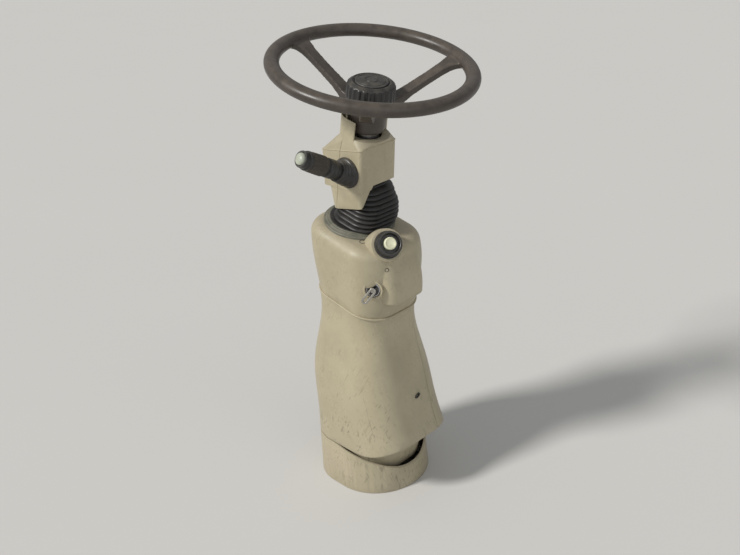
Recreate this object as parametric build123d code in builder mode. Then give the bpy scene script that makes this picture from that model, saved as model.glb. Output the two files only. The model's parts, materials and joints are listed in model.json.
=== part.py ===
from build123d import *
from math import cos, radians, sin
import os

# Steering column of a combine harvester, in millimetres.
# +X is the machine's forward, +Y its left and +Z up. The origin is on the floor,
# at the centre of the foot's four bolts.

# Overall lines
low_pivot_height = 82  # floor to the axis on which the whole column tilts
column_lean = 2.5  # degrees, back from upright
pivot_distance = 505.5  # low pivot to the upper pivot, along the column
head_lean = 13  # degrees, back from upright, of the head and the steering wheel
wheel_distance = 299  # upper pivot to the middle of the rim, along the head's axis

# Fits and gaps
running_fit = 0.05  # radial, a pin or shaft that turns or slides
seat_gap = 0.3  # curved faces that rest on each other
seam_gap = 0.8  # between two covers

# Foot
plate_length = 176
plate_width = 150
plate_thickness = 8
plate_corner = 22
bolt_spacing_x = 146
bolt_spacing_y = 120
bolt_hole_radius = 5.5
hose_opening_length = 96
hose_opening_width = 84
ear_gap = 124  # between the inner faces of the two ears
ear_thickness = 8
ear_base = 84
ear_radius = 22
tilt_pin_radius = 10
tilt_pin_head_radius = 15
tilt_pin_head = 5

# Foot collar: front, rear and side reach from the bolt centre
collar_front = 107
collar_rear = 120
collar_side = 106
collar_front_corner = 90
collar_rear_corner = 104
collar_taper = 4  # narrower at the top
collar_wall = 4
collar_height = 104  # before its top is cut to an arc
collar_front_height = 82
collar_crest = (-30, 93)  # side view, forward and up: a point of the arc
collar_rear_height = 42
collar_margin = 5  # how far the arc runs on past the collar
collar_lug_width = 24  # inward lugs that centre the collar round the mount plate

# Pedestal covers: height along the column, then reach to the front, rear and side, and corner radius
cover_sections = [
    (0, 94, 160, 103, 78),
    (45, 96, 158, 104, 78),
    (93, 99, 141, 100, 74),
    (194, 101, 116, 93, 68),
    (265, 86, 97, 81, 58),
    (340, 78, 100, 78, 56),
    (390, 80, 106, 80, 58),
]
cover_wall = 4
rim_height = 345  # along the column, where the covers end in a slanted rim
# The covers' lower edge in the column's side view, forward and up: straight, then an arc up to the rear
lip_front = (120, 21)
lip_turn = (-30, 24)
lip_rear = (-165, 60)
seam_side = 45  # how far to the right the two covers meet
cut_reach = 500  # further than any cover reaches, for cuts

# Throat: the part of the covers that dips into the foot collar
throat_sections = [
    (-34, 80, 98, 81, 68),
    (10, 84, 112, 86, 80),
    (70, 89, 140, 96, 78),
]
throat_wall = 3.5
ledge_section = (95, 149.5, 100.5, 74.5)  # where the throat hangs from the covers, inside their wall
ledge_height = 62
rib_width = 30  # inside each cover half, against the post's plate
rib_reach = 80  # past the cover's wall, where the rib is cut to the cover's outer face

# Support post
post_side_gap = 1  # between ear and post lug
post_side_thickness = 8
post_lug_radius = 20
post_plate_height = 176  # underside of the plate that carries the steering unit
post_plate_thickness = 10
post_plate_length = 120
post_tube_radius = 32
post_tube_wall = 4
fork_gap = 42  # between the inner faces of the fork's two arms
fork_thickness = 6
fork_radius = 15
fork_foot = 10  # how much further the fork's foot reaches to the front and rear than its top
fork_drop = 66  # from the upper pivot down to the fork's bridge
fork_bridge = 10

# Steering unit, a heavy hydraulic block hung below the post's plate
unit_radius = 56
unit_length = 112
unit_flange = 14
port_circle = 30
port_radius = 9.2
port_depth = 18
port_boss_radius = 14
port_boss = 5

# Upper pivot and head
high_pin_radius = 7
high_pin_head_radius = 11
high_pin_head = 3
yoke_thickness = 6
yoke_radius = 14
yoke_gap = 0.8  # between fork arm and yoke arm
jacket_radius = 25
jacket_wall = 3.5
jacket_start = 34  # above the upper pivot
jacket_end = 150
jacket_plate_half = 20  # the plate on top of the yoke

# Bellows and its clamp ring, on the cowl's slanted top
cowl_top_drop = 16  # below the upper pivot, along the head's axis
ring_radius = 69
ring_bore = 55
ring_thickness = 9
ring_step = 3
bellows_sections = [  # share of the height, front, rear, left and right reach, front and rear corner
    (0, 48, 64, 52, 58, 46, 44),
    (0.2, 40, 62, 44, 62, 38, 34),
    (0.5, 40, 60, 40, 62, 36, 36),
    (0.7, 35, 52, 37, 56, 35, 34),
    (0.82, 34, 43, 36, 48, 34, 30),
    (0.9, 36, 34, 36, 40, 32, 24),
    (1, 34, 30, 34, 34, 30, 20),
]
bellows_depth = 4
bellows_wall = 1.6
bellows_folds = 8
bellows_top = 80  # along the head's axis
bellows_cuff = 9  # the cuff that grips the head's tube
bellows_cuff_wall = 2.5

# Cowl: height along the column, reach to the front, rear and side, and corner radius, on slanted planes
cowl_top_height = pivot_distance - cowl_top_drop / cos(radians(head_lean - column_lean))
cowl_sections = [
    (rim_height, 79, 100, 77.5, 56),
    (400, 85, 112, 83, 60),
    (458, 86, 114, 86, 60),
    (cowl_top_height, 84, 108, 84, 60),
]
cowl_wall = 4
cowl_shoulder = 22
cowl_spigot = 10
spigot_gap = 4
hood_sections = [  # height along the column, reach to the rear and side, and corner radius
    (388, 128, 50, 24),
    (410, 128, 51, 24),
    (445, 122, 54, 28),
    (475, 108, 58, 30),
]
hood_root = 30  # where the hood starts inside the cowl, behind the column's axis

# Power socket on the cowl's rear left corner
socket_turn = 157  # degrees from forward to the left
socket_rise = 30  # degrees above level
socket_point = (-124, 30, 559)
socket_radius = 24
socket_length = 18
socket_bore = 14.5
socket_boss_radius = 31
socket_boss_length = 44
lighter_radius = 12
key_barrel_radius = 10

# Key switch on the cowl's left face
key_turn = 128
key_rise = 8
key_point = (-114.5, 67, 477.5)
bezel_radius = 18.5
bezel_length = 12
key_slot_width = 2.6
key_length = 38
key_bow_width = 12
key_bow_corner = 4
key_bow_back = 8  # how far the bow reaches past the middle of the key's slot
key_blade_turn = -130

# Head shells: upright box with a slanted neck, reaches measured from the upper pivot
head_front = 42
head_rear_low = 57
head_rear_high = 68
head_side = 46
head_bottom = 66
head_top = 141
roof_tilt = 7  # degrees, the roof's edge is higher at the rear
head_reach = 100  # further than the head reaches, for cuts
head_wall = 3
head_corner = 8
neck_radius = 41
neck_top = 204  # along the head's axis
seam_forward = 20  # of the head's axis, where the two shells meet
skirt_wall = 2.5
# Front, rear, left and right reach, front and rear corner, at the skirt's lower edge and at the fold
skirt_low = (42, 54, 44, 44, 38, 8)
skirt_high = (40, 55, 45, 45, 24, 8)
skirt_level = 5
skirt_depth = 60  # deep enough to clear everything below the skirt's edge
roof_hole_radius = 27
# Side view from the upper pivot: the skirt's lower edge on the left, and on the right, where the bellows shows
skirt_edge = [(80, 10), (40, 17.5), (-80, 40)]
skirt_slot = [(80, 10), (40, 17.5), (34, 50), (20, 66), (-30, 73), (-100, 73)]
skirt_leg = [(41, 36), (13, 73)]  # rear view: the left leg's inner edge, to the left and up
skirt_leg_depth = 30  # behind the upper pivot, where the leg's slot starts
neck_start = 172  # along the head's axis
rib_level = 110
rib_thickness = 3

# Column stalk on the head's left face
stalk_point = (-50, head_side, 690)
stalk_rise = 30
stalk_boss_radius = 29
stalk_boss_length = 22
stalk_length = 112
stalk_grip_radius = 18
stalk_cap_radius = 11
stalk_base = 8  # thickness of the boss's round foot
stalk_profile = [  # distance along the lever, radius
    (22, 16),
    (30, 16),
    (34, 18),
    (50, 18),
    (52, 15),
    (56, 15),
    (58, 19),
    (94, 18),
    (98, 15.5),
    (112, 15.5),
]

# Telescoping sleeve, which ends just below the wheel's hub
sleeve_radius = jacket_radius - jacket_wall - running_fit
sleeve_wall = 3
sleeve_start = 58
bearing_length = 16
shaft_radius = 12

# Steering wheel
rim_radius = 176
rim_width = 28  # across the grip, in the wheel's plane
rim_depth = 24
spoke_count = 3
first_spoke = 10  # degrees from forward to the left
spoke_width = 26
spoke_depth = 16
spoke_root = 42
spoke_rise = 50  # radius at which a spoke starts to rise from the hub
spoke_bend = 146
spoke_drop = 6  # below the rim's middle at the bend
hub_waist = 208  # along the head's axis
hub_foot_radius = 32
hub_drop = 121  # rim's middle down to the hub's foot
knob_radius = 43
knob_height = 34
knob_top = 26  # below the rim's middle
knob_flutes = 24
knob_flute_radius = 3
knob_cap_radius = 30
knob_cap_height = 3

# Frames
low_pivot = Vector(0, 0, low_pivot_height)
column_up = Vector(-sin(radians(column_lean)), 0, cos(radians(column_lean)))
column_forward = Vector(cos(radians(column_lean)), 0, sin(radians(column_lean)))
head_up = Vector(-sin(radians(head_lean)), 0, cos(radians(head_lean)))
head_forward = Vector(cos(radians(head_lean)), 0, sin(radians(head_lean)))
high_pivot = low_pivot + column_up * pivot_distance
column = Plane(origin=low_pivot, x_dir=column_forward, z_dir=column_up)
head = Plane(origin=high_pivot, x_dir=head_forward, z_dir=head_up)
upright_head = Plane(origin=high_pivot, x_dir=(1, 0, 0), z_dir=(0, 0, 1))
wheel = head.offset(wheel_distance)


def slanted(height):
    """Plane parallel to the steering wheel through the column's axis at a height along it."""
    return Plane(origin=low_pivot + column_up * height, x_dir=head_forward, z_dir=head_up)


def side_view(origin, forward, up_vector):
    """Plane seen from the machine's right, with x along forward and y along up_vector."""
    return Plane(origin=origin, x_dir=forward, z_dir=forward.cross(up_vector))


def rounded(plane, front, rear, side, corner, inset=0):
    """Rounded rectangle that reaches further to the rear than to the front."""
    with BuildSketch(plane, mode=Mode.PRIVATE) as outline:
        with Locations(((front - rear) / 2, 0)):
            RectangleRounded(front + rear - 2 * inset, 2 * (side - inset), corner - inset)
    return outline.sketch


def hull(plane, front, rear, left, right, front_corner, rear_corner, inset=0):
    """Rectangle with rounder corners at the front than at the rear."""
    with BuildSketch(plane, mode=Mode.PRIVATE) as outline:
        with Locations(((front - rear) / 2, (left - right) / 2)):
            Rectangle(front + rear - 2 * inset, left + right - 2 * inset)
        fillet(outline.vertices().sort_by(Axis.X)[:2], rear_corner - inset)
        fillet(outline.vertices().sort_by(Axis.X)[-2:], front_corner - inset)
    return outline.sketch


def disc(plane, radius):
    """Round outline on a plane."""
    with BuildSketch(plane, mode=Mode.PRIVATE) as outline:
        Circle(radius)
    return outline.sketch


def pointing(point, turn, rise):
    """Plane at a point whose normal is turned from forward to the left and raised from level."""
    flat = Vector(cos(radians(turn)), sin(radians(turn)), 0)
    normal = flat * cos(radians(rise)) + Vector(0, 0, sin(radians(rise)))
    return Plane(origin=point, x_dir=Vector(0, 0, 1).cross(flat), z_dir=normal)


os.makedirs("parts", exist_ok=True)

# Foot
ear_inner = ear_gap / 2
lug_outer = ear_inner - post_side_gap
lug_inner = lug_outer - post_side_thickness

with BuildPart() as mount_plate:
    with BuildSketch(Plane.XY):
        RectangleRounded(plate_length, plate_width, plate_corner)
        with GridLocations(bolt_spacing_x, bolt_spacing_y, 2, 2):
            Circle(bolt_hole_radius, mode=Mode.SUBTRACT)
        RectangleRounded(hose_opening_length, hose_opening_width, plate_corner, mode=Mode.SUBTRACT)
    extrude(amount=plate_thickness)
    for side in (1, -1):
        with BuildSketch(Plane.XZ.offset(-side * ear_inner)):
            with BuildLine():
                Line((-ear_base / 2, plate_thickness), (ear_base / 2, plate_thickness))
                Line((ear_base / 2, plate_thickness), (ear_radius, low_pivot_height))
                ThreePointArc(
                    (ear_radius, low_pivot_height),
                    (0, low_pivot_height + ear_radius),
                    (-ear_radius, low_pivot_height),
                )
                Line((-ear_radius, low_pivot_height), (-ear_base / 2, plate_thickness))
            make_face()
            with Locations((0, low_pivot_height)):
                Circle(tilt_pin_radius + running_fit, mode=Mode.SUBTRACT)
        extrude(amount=-side * ear_thickness)
mount_plate.part.label = "mount_plate"
export_step(mount_plate.part, "parts/mount_plate.step")

with BuildPart() as tilt_pins:
    for side in (1, -1):
        with BuildSketch(Plane.XZ.offset(-side * (lug_inner - post_side_gap))):
            with Locations((0, low_pivot_height)):
                Circle(tilt_pin_radius)
        extrude(amount=-side * (ear_inner + ear_thickness - lug_inner + post_side_gap))
        with BuildSketch(Plane.XZ.offset(-side * (ear_inner + ear_thickness))):
            with Locations((0, low_pivot_height)):
                Circle(tilt_pin_head_radius)
        extrude(amount=-side * tilt_pin_head)
tilt_pins.part.label = "tilt_pins"
export_step(tilt_pins.part, "parts/tilt_pins.step")

collar_reach = (collar_front, collar_rear, collar_side, collar_side, collar_front_corner, collar_rear_corner)
collar_top = Plane.XY.offset(collar_height)
arc_front = collar_front + collar_margin
arc_rear = -collar_rear - collar_margin
with BuildPart() as foot_collar:
    loft(sections=[hull(Plane.XY, *collar_reach), hull(collar_top, *collar_reach, collar_taper)])
    loft(
        sections=[
            hull(Plane.XY, *collar_reach, collar_wall),
            hull(collar_top, *collar_reach, collar_taper + collar_wall),
        ],
        mode=Mode.SUBTRACT,
    )
    with BuildSketch(Plane.XZ):
        with BuildLine():
            ThreePointArc((arc_front, collar_front_height), collar_crest, (arc_rear, collar_rear_height))
            Line((arc_rear, collar_rear_height), (arc_rear, 2 * collar_height))
            Line((arc_rear, 2 * collar_height), (arc_front, 2 * collar_height))
            Line((arc_front, 2 * collar_height), (arc_front, collar_front_height))
        make_face()
    extrude(amount=2 * collar_side, both=True, mode=Mode.SUBTRACT)
    with BuildSketch(Plane.XY):
        with Locations(((collar_front - collar_rear) / 2, 0)):
            Rectangle(collar_front + collar_rear - collar_wall, collar_lug_width)
        Rectangle(collar_lug_width, 2 * collar_side - collar_wall)
        Rectangle(plate_length + 2 * seat_gap, plate_width + 2 * seat_gap, mode=Mode.SUBTRACT)
    extrude(amount=plate_thickness)
foot_collar.part.label = "foot_collar"
export_step(foot_collar.part, "parts/foot_collar.step")

# Pedestal: support post
fork_outer = fork_gap / 2 + fork_thickness
fork_foot_reach = fork_radius + fork_foot
post_plate_half = lug_outer
column_side = side_view(low_pivot, column_forward, column_up)
with BuildPart() as support_post:
    for side in (1, -1):
        with BuildSketch(column_side.offset(-side * lug_inner)):
            with BuildLine():
                ThreePointArc((-post_lug_radius, 0), (0, -post_lug_radius), (post_lug_radius, 0))
                Line((post_lug_radius, 0), (post_plate_length / 2, post_plate_height))
                Line((post_plate_length / 2, post_plate_height), (-post_plate_length / 2, post_plate_height))
                Line((-post_plate_length / 2, post_plate_height), (-post_lug_radius, 0))
            make_face()
            Circle(tilt_pin_radius + running_fit, mode=Mode.SUBTRACT)
        extrude(amount=-side * post_side_thickness)
    with BuildSketch(column.offset(post_plate_height)):
        Rectangle(post_plate_length, 2 * post_plate_half)
        Circle(post_tube_radius - post_tube_wall, mode=Mode.SUBTRACT)
    extrude(amount=post_plate_thickness)
    with BuildSketch(column.offset(post_plate_height + post_plate_thickness)):
        Circle(post_tube_radius)
        Circle(post_tube_radius - post_tube_wall, mode=Mode.SUBTRACT)
    extrude(amount=pivot_distance - fork_drop - post_plate_height - post_plate_thickness)
    with BuildSketch(column.offset(pivot_distance - fork_drop)):
        Circle(post_tube_radius)
    extrude(amount=fork_bridge)
    for side in (1, -1):
        with BuildSketch(column_side.offset(-side * fork_gap / 2)):
            with BuildLine():
                ThreePointArc(
                    (fork_radius, pivot_distance),
                    (0, pivot_distance + fork_radius),
                    (-fork_radius, pivot_distance),
                )
                Line((-fork_radius, pivot_distance), (-fork_foot_reach, pivot_distance - fork_drop))
                Line(
                    (-fork_foot_reach, pivot_distance - fork_drop),
                    (fork_foot_reach, pivot_distance - fork_drop),
                )
                Line((fork_foot_reach, pivot_distance - fork_drop), (fork_radius, pivot_distance))
            make_face()
            with Locations((0, pivot_distance)):
                Circle(high_pin_radius + running_fit, mode=Mode.SUBTRACT)
        extrude(amount=-side * fork_thickness)
support_post.part.label = "support_post"
export_step(support_post.part, "parts/support_post.step")

with BuildPart() as steering_unit:
    with BuildSketch(column.offset(post_plate_height - unit_length)):
        Circle(unit_radius - 4)
    extrude(amount=unit_length - unit_flange)
    with BuildSketch(column.offset(post_plate_height - unit_flange)):
        RectangleRounded(2 * (unit_radius - 6), 2 * (lug_inner - 1), 16)
    extrude(amount=unit_flange)
    with BuildSketch(column.offset(post_plate_height - unit_length)):
        with PolarLocations(port_circle, 4, start_angle=45):
            Circle(port_boss_radius)
    extrude(amount=-port_boss)
    with BuildSketch(column.offset(post_plate_height - unit_length - port_boss)):
        with PolarLocations(port_circle, 4, start_angle=45):
            Circle(port_radius)
    extrude(amount=port_depth, mode=Mode.SUBTRACT)
steering_unit.part.label = "steering_unit"
export_step(steering_unit.part, "parts/steering_unit.step")

# Pedestal: two cover halves with the throat that dips into the collar
with BuildPart() as cover_form:
    loft(sections=[rounded(column.offset(h), f, r, s, c) for h, f, r, s, c in cover_sections])
with BuildPart() as covers:
    add(cover_form.part)
    loft(
        sections=[rounded(column.offset(h), f, r, s, c, cover_wall) for h, f, r, s, c in cover_sections],
        mode=Mode.SUBTRACT,
    )
    split(bisect_by=slanted(rim_height), keep=Keep.BOTTOM)
    with BuildSketch(column_side):
        with BuildLine():
            edge = Line(lip_front, lip_turn)
            TangentArc(lip_turn, lip_rear, tangent=edge % 1)
            Line(lip_rear, (lip_rear[0], -lip_rear[1]))
            Line((lip_rear[0], -lip_rear[1]), (lip_front[0], -lip_rear[1]))
            Line((lip_front[0], -lip_rear[1]), lip_front)
        make_face()
    extrude(amount=cut_reach, both=True, mode=Mode.SUBTRACT)
with BuildPart() as throat:
    loft(sections=[rounded(column.offset(h), f, r, s, c) for h, f, r, s, c in throat_sections])
    extrude(to_extrude=rounded(column.offset(ledge_height), *ledge_section), amount=throat_wall)
    loft(
        sections=[rounded(column.offset(h), f, r, s, c, throat_wall) for h, f, r, s, c in throat_sections],
        mode=Mode.SUBTRACT,
    )
with BuildPart() as cover_ribs:
    with BuildSketch(column.offset(post_plate_height)):
        for side in (1, -1):
            with Locations((0, side * (post_plate_half + seat_gap + rib_reach / 2))):
                Rectangle(rib_width, rib_reach)
    extrude(amount=post_plate_thickness)
    add(cover_form.part, mode=Mode.INTERSECT)

for name, side in (("pedestal_left_cover", 1), ("pedestal_right_cover", -1)):
    with BuildPart() as cover:
        add(covers.part)
        add(throat.part)
        add(cover_ribs.part)
        with BuildSketch(Plane.XZ.offset(seam_side - side * seam_gap / 2)):
            with Locations((0, rim_height / 2)):
                Rectangle(cut_reach, 2 * rim_height)
        extrude(amount=side * cut_reach, mode=Mode.SUBTRACT)
    cover.part.label = name
    export_step(cover.part, f"parts/{name}.step")

# Cowl, in slanted sections, with the rear hood, the socket's boss and the key's cup
socket_face = pointing(socket_point, socket_turn, socket_rise)
key_face = pointing(key_point, key_turn, key_rise)
cowl_top = head.offset(-cowl_top_drop)


def band(plane, outer, inner):
    """Flat ring between two insets of the cowl's lowest section."""
    reach = cowl_sections[0][1:]
    with BuildSketch(plane, mode=Mode.PRIVATE) as outline:
        with Locations(((reach[0] - reach[1]) / 2, 0)):
            for inset, mode in ((outer, Mode.ADD), (inner, Mode.SUBTRACT)):
                RectangleRounded(
                    reach[0] + reach[1] - 2 * inset, 2 * (reach[2] - inset), reach[3] - inset, mode=mode
                )
    return outline.sketch


with BuildPart() as cowl:
    loft(sections=[rounded(slanted(h), f, r, s, c) for h, f, r, s, c in cowl_sections])
    fillet(cowl.faces().sort_by(Axis(high_pivot, head_up))[-1].edges(), cowl_shoulder)
    loft(sections=[rounded(slanted(h), -hood_root, r, s, c) for h, r, s, c in hood_sections])
    loft(sections=[disc(socket_face, socket_boss_radius), disc(socket_face.offset(-socket_boss_length), 38)])
    with BuildSketch(key_face):
        Circle(bezel_radius)
    extrude(amount=-2 * bezel_length)
    loft(
        sections=[rounded(slanted(h), f, r, s, c, cowl_wall) for h, f, r, s, c in cowl_sections[:-1]]
        + [rounded(cowl_top.offset(-cowl_wall), 60, 70, 60, 40)],
        mode=Mode.SUBTRACT,
    )
    with BuildSketch(cowl_top.offset(-2 * cowl_wall)):
        Circle(ring_bore)
    extrude(amount=3 * cowl_wall, mode=Mode.SUBTRACT)
    spigot = band(slanted(rim_height), cover_wall + spigot_gap, 2 * cover_wall)
    extrude(to_extrude=spigot, amount=cowl_spigot, dir=-column_up)
    extrude(to_extrude=band(slanted(rim_height), 0, 2 * cover_wall), amount=cover_wall)
    with BuildSketch(cowl_top):
        Circle(ring_radius + 2)
    extrude(amount=3 * socket_boss_radius, mode=Mode.SUBTRACT)
    with BuildSketch(socket_face):
        Circle(socket_bore + seat_gap)
    extrude(amount=-2 * socket_boss_length, mode=Mode.SUBTRACT)
    with BuildSketch(key_face):
        Circle(bezel_radius - 4)
    extrude(amount=-bezel_length, mode=Mode.SUBTRACT)
    with BuildSketch(key_face):
        Circle(key_barrel_radius + seat_gap)
    extrude(amount=-3 * bezel_length, mode=Mode.SUBTRACT)
cowl.part.label = "cowl"
export_step(cowl.part, "parts/cowl.step")

with BuildPart() as power_socket:
    with BuildSketch(socket_face):
        Circle(socket_radius)
    extrude(amount=socket_length)
    with BuildSketch(socket_face):
        Circle(socket_bore)
    extrude(amount=-socket_boss_length)
    with BuildSketch(socket_face.offset(socket_length)):
        Circle(lighter_radius + seat_gap)
    extrude(amount=-socket_length - socket_boss_length / 2, mode=Mode.SUBTRACT)
    fillet(power_socket.faces().sort_by(Axis(socket_face.origin, socket_face.z_dir))[-1].edges(), 2)
power_socket.part.label = "power_socket"
export_step(power_socket.part, "parts/power_socket.step")

with BuildPart() as lighter:
    with BuildSketch(socket_face.offset(-socket_boss_length / 2)):
        Circle(lighter_radius)
    extrude(amount=socket_boss_length / 2 + socket_length + 2)
    fillet(lighter.faces().sort_by(Axis(socket_face.origin, socket_face.z_dir))[-1].edges(), 1.5)
lighter.part.label = "lighter"
export_step(lighter.part, "parts/lighter.step")

with BuildPart() as key_switch:
    with BuildSketch(key_face.offset(-bezel_length)):
        Circle(bezel_radius - 4 - seat_gap)
    extrude(amount=bezel_length - 3)
    with BuildSketch(key_face.offset(-bezel_length)):
        Circle(key_barrel_radius)
    extrude(amount=-2 * bezel_length)
    with BuildSketch(key_face.offset(-3)):
        SlotOverall(2 * key_barrel_radius - 6, key_slot_width + 2 * seat_gap, rotation=key_blade_turn)
    extrude(amount=-bezel_length, mode=Mode.SUBTRACT)
key_switch.part.label = "key_switch"
export_step(key_switch.part, "parts/key_switch.step")

with BuildPart() as key:
    with BuildSketch(key_face.offset(-bezel_length)):
        SlotOverall(2 * key_barrel_radius - 8, key_slot_width, rotation=key_blade_turn)
    extrude(amount=bezel_length + 4)
    with BuildSketch(key_face.offset(4)):
        with Locations(Rotation(0, 0, key_blade_turn)):
            with Locations((key_length / 2 - key_bow_back, 0)):
                RectangleRounded(key_length, key_bow_width, key_bow_corner)
    extrude(amount=6)
key.part.label = "key"
export_step(key.part, "parts/key.step")

# Clamp ring and bellows on the cowl's slanted top
with BuildPart() as clamp_ring:
    with BuildSketch(cowl_top):
        Circle(ring_radius)
        Circle(ring_bore, mode=Mode.SUBTRACT)
    extrude(amount=ring_thickness - ring_step)
    with BuildSketch(cowl_top.offset(ring_thickness - ring_step)):
        Circle(ring_radius - ring_step)
        Circle(ring_bore, mode=Mode.SUBTRACT)
    extrude(amount=ring_step)
clamp_ring.part.label = "clamp_ring"
export_step(clamp_ring.part, "parts/clamp_ring.step")

bellows_start = ring_thickness + seat_gap - cowl_top_drop


def bellows_section(share, inset):
    """Bellows outline at a share of its height."""
    low, high = [
        (low, high)
        for low, high in zip(bellows_sections, bellows_sections[1:])
        if low[0] <= share <= high[0]
    ][0]
    blend = (share - low[0]) / (high[0] - low[0])
    reach = [a * (1 - blend) + b * blend for a, b in zip(low[1:], high[1:])]
    return hull(head.offset(bellows_start + share * (bellows_top - bellows_start)), *reach, inset)


fold_shares = [step / (2 * bellows_folds) for step in range(2 * bellows_folds + 1)]
with BuildPart() as bellows:
    loft(
        sections=[bellows_section(share, bellows_depth * (1 - step % 2)) for step, share in enumerate(fold_shares)],
        ruled=True,
    )
    with BuildSketch(cowl_top):
        Circle(ring_bore - seat_gap)
    extrude(amount=ring_thickness + 2 * seat_gap)
    with BuildSketch(cowl_top):
        Circle(ring_bore - seat_gap - bellows_wall)
    extrude(amount=ring_thickness + 2 * seat_gap, mode=Mode.SUBTRACT)
    with BuildSketch(head.offset(bellows_start)):
        Circle(ring_bore + 2)
    extrude(amount=bellows_wall)
    loft(
        sections=[
            bellows_section(fold_shares[step], bellows_depth * (1 - step % 2) + bellows_wall)
            for step in range(2 * bellows_folds)
        ],
        ruled=True,
        mode=Mode.SUBTRACT,
    )
    with BuildSketch(head.offset(bellows_top)):
        Circle(jacket_radius + seat_gap + bellows_cuff_wall)
    extrude(amount=bellows_cuff)
    with BuildSketch(head.offset(bellows_top - bellows_cuff)):
        Circle(jacket_radius + seat_gap)
    extrude(amount=2 * bellows_cuff, mode=Mode.SUBTRACT)
bellows.part.label = "bellows"
export_step(bellows.part, "parts/bellows.step")

# Upper pivot and the head's inner tube
with BuildPart() as head_pin:
    with BuildSketch(column_side.offset(-fork_outer)):
        with Locations((0, pivot_distance)):
            Circle(high_pin_radius)
    extrude(amount=2 * fork_outer)
    for side in (1, -1):
        with BuildSketch(column_side.offset(-side * fork_outer)):
            with Locations((0, pivot_distance)):
                Circle(high_pin_head_radius)
        extrude(amount=-side * high_pin_head)
head_pin.part.label = "head_pin"
export_step(head_pin.part, "parts/head_pin.step")

head_side_view = side_view(high_pivot, head_forward, head_up)
yoke_outer = fork_gap / 2 - yoke_gap
with BuildPart() as jacket_tube:
    for side in (1, -1):
        with BuildSketch(head_side_view.offset(-side * (yoke_outer - yoke_thickness))):
            with BuildLine():
                ThreePointArc((yoke_radius, 0), (0, -yoke_radius), (-yoke_radius, 0))
                Line((-yoke_radius, 0), (-yoke_radius, jacket_start))
                Line((-yoke_radius, jacket_start), (yoke_radius, jacket_start))
                Line((yoke_radius, jacket_start), (yoke_radius, 0))
            make_face()
            Circle(high_pin_radius + running_fit, mode=Mode.SUBTRACT)
        extrude(amount=-side * yoke_thickness)
    with BuildSketch(head.offset(jacket_start)):
        RectangleRounded(2 * jacket_plate_half, 2 * yoke_outer, 6)
    extrude(amount=fork_bridge)
    with BuildSketch(head.offset(jacket_start + fork_bridge)):
        Circle(jacket_radius)
    extrude(amount=jacket_end - jacket_start - fork_bridge)
    with BuildSketch(head.offset(jacket_start - 1)):
        Circle(jacket_radius - jacket_wall)
    extrude(amount=jacket_end - jacket_start + 2, mode=Mode.SUBTRACT)
jacket_tube.part.label = "jacket_tube"
export_step(jacket_tube.part, "parts/jacket_tube.step")

hub_foot = wheel_distance - hub_drop
sleeve_end = hub_foot - seat_gap
with BuildPart() as telescope_sleeve:
    with BuildSketch(head.offset(sleeve_start)):
        Circle(sleeve_radius)
    extrude(amount=sleeve_end - sleeve_start)
    with BuildSketch(head.offset(sleeve_start)):
        Circle(sleeve_radius - sleeve_wall)
    extrude(amount=sleeve_end - sleeve_start - bearing_length, mode=Mode.SUBTRACT)
    with BuildSketch(head.offset(sleeve_start)):
        Circle(shaft_radius + running_fit)
    extrude(amount=sleeve_end - sleeve_start, mode=Mode.SUBTRACT)
telescope_sleeve.part.label = "telescope_sleeve"
export_step(telescope_sleeve.part, "parts/telescope_sleeve.step")

# Head shells
roof_low = Plane(
    origin=high_pivot + Vector(0, 0, head_top),
    x_dir=(cos(radians(roof_tilt)), 0, -sin(radians(roof_tilt))),
    z_dir=(sin(radians(roof_tilt)), 0, cos(radians(roof_tilt))),
)
fold_level = upright_head.offset(head_bottom)


def head_form(inset, skirt_inset):
    """Solid form of the head: skirt, box and sloping roof, drawn in by an inset."""
    with BuildPart(mode=Mode.PRIVATE) as form:
        loft(
            sections=[
                rounded(fold_level.offset(inset), head_front + 3, head_rear_low, head_side, head_corner, inset),
                rounded(roof_low, head_front, head_rear_high, head_side, head_corner, inset),
            ],
        )
        loft(
            sections=[
                hull(upright_head.offset(skirt_level), *skirt_low, skirt_inset),
                hull(fold_level.offset(inset), *skirt_high, skirt_inset),
            ],
        )
        loft(
            sections=[
                rounded(roof_low, head_front, head_rear_high, head_side, head_corner, inset),
                rounded(head.offset(neck_start - inset), *[neck_radius] * 3, neck_radius - 1, inset),
            ],
        )
    return form.part


def under(edge):
    """Closed outline of everything below an edge seen from the side or the rear."""
    return [*edge, (edge[-1][0], -skirt_depth), (edge[0][0], -skirt_depth)]


head_outer = head_form(0, 0)
head_view = side_view(high_pivot, Vector(1, 0, 0), Vector(0, 0, 1))
rear_view = side_view(high_pivot, Vector(0, 1, 0), Vector(0, 0, 1))
with BuildPart() as head_body:
    add(head_outer)
    extrude(to_extrude=disc(head.offset(neck_start), neck_radius), amount=neck_top - neck_start)
    add(head_form(head_wall, skirt_wall), mode=Mode.SUBTRACT)
    with BuildSketch(head.offset(neck_start)):
        Circle(neck_radius - head_wall)
    extrude(amount=neck_top, mode=Mode.SUBTRACT)
    with BuildSketch(head.offset(neck_start - 4 * head_wall)):
        Circle(roof_hole_radius)
    extrude(amount=neck_top, mode=Mode.SUBTRACT)
    with BuildSketch(head_side_view):
        with Locations((seam_forward - neck_radius - 10, neck_top)):
            Rectangle(2 * neck_radius + 20, 2 * (neck_top - neck_start))
    extrude(amount=2 * neck_radius, both=True, mode=Mode.SUBTRACT)
    with BuildSketch(head_view):
        Polygon(*under(skirt_edge), align=None)
    extrude(amount=2 * head_side, both=True, mode=Mode.SUBTRACT)
    with BuildSketch(head_view):
        Polygon(*under(skirt_slot), align=None)
    extrude(amount=2 * head_side, mode=Mode.SUBTRACT)
    with BuildSketch(rear_view.offset(-skirt_leg_depth)):
        Polygon(*under([*skirt_leg, (-1, skirt_leg[1][1])]), align=None)
    extrude(amount=-head_reach, mode=Mode.SUBTRACT)
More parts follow.
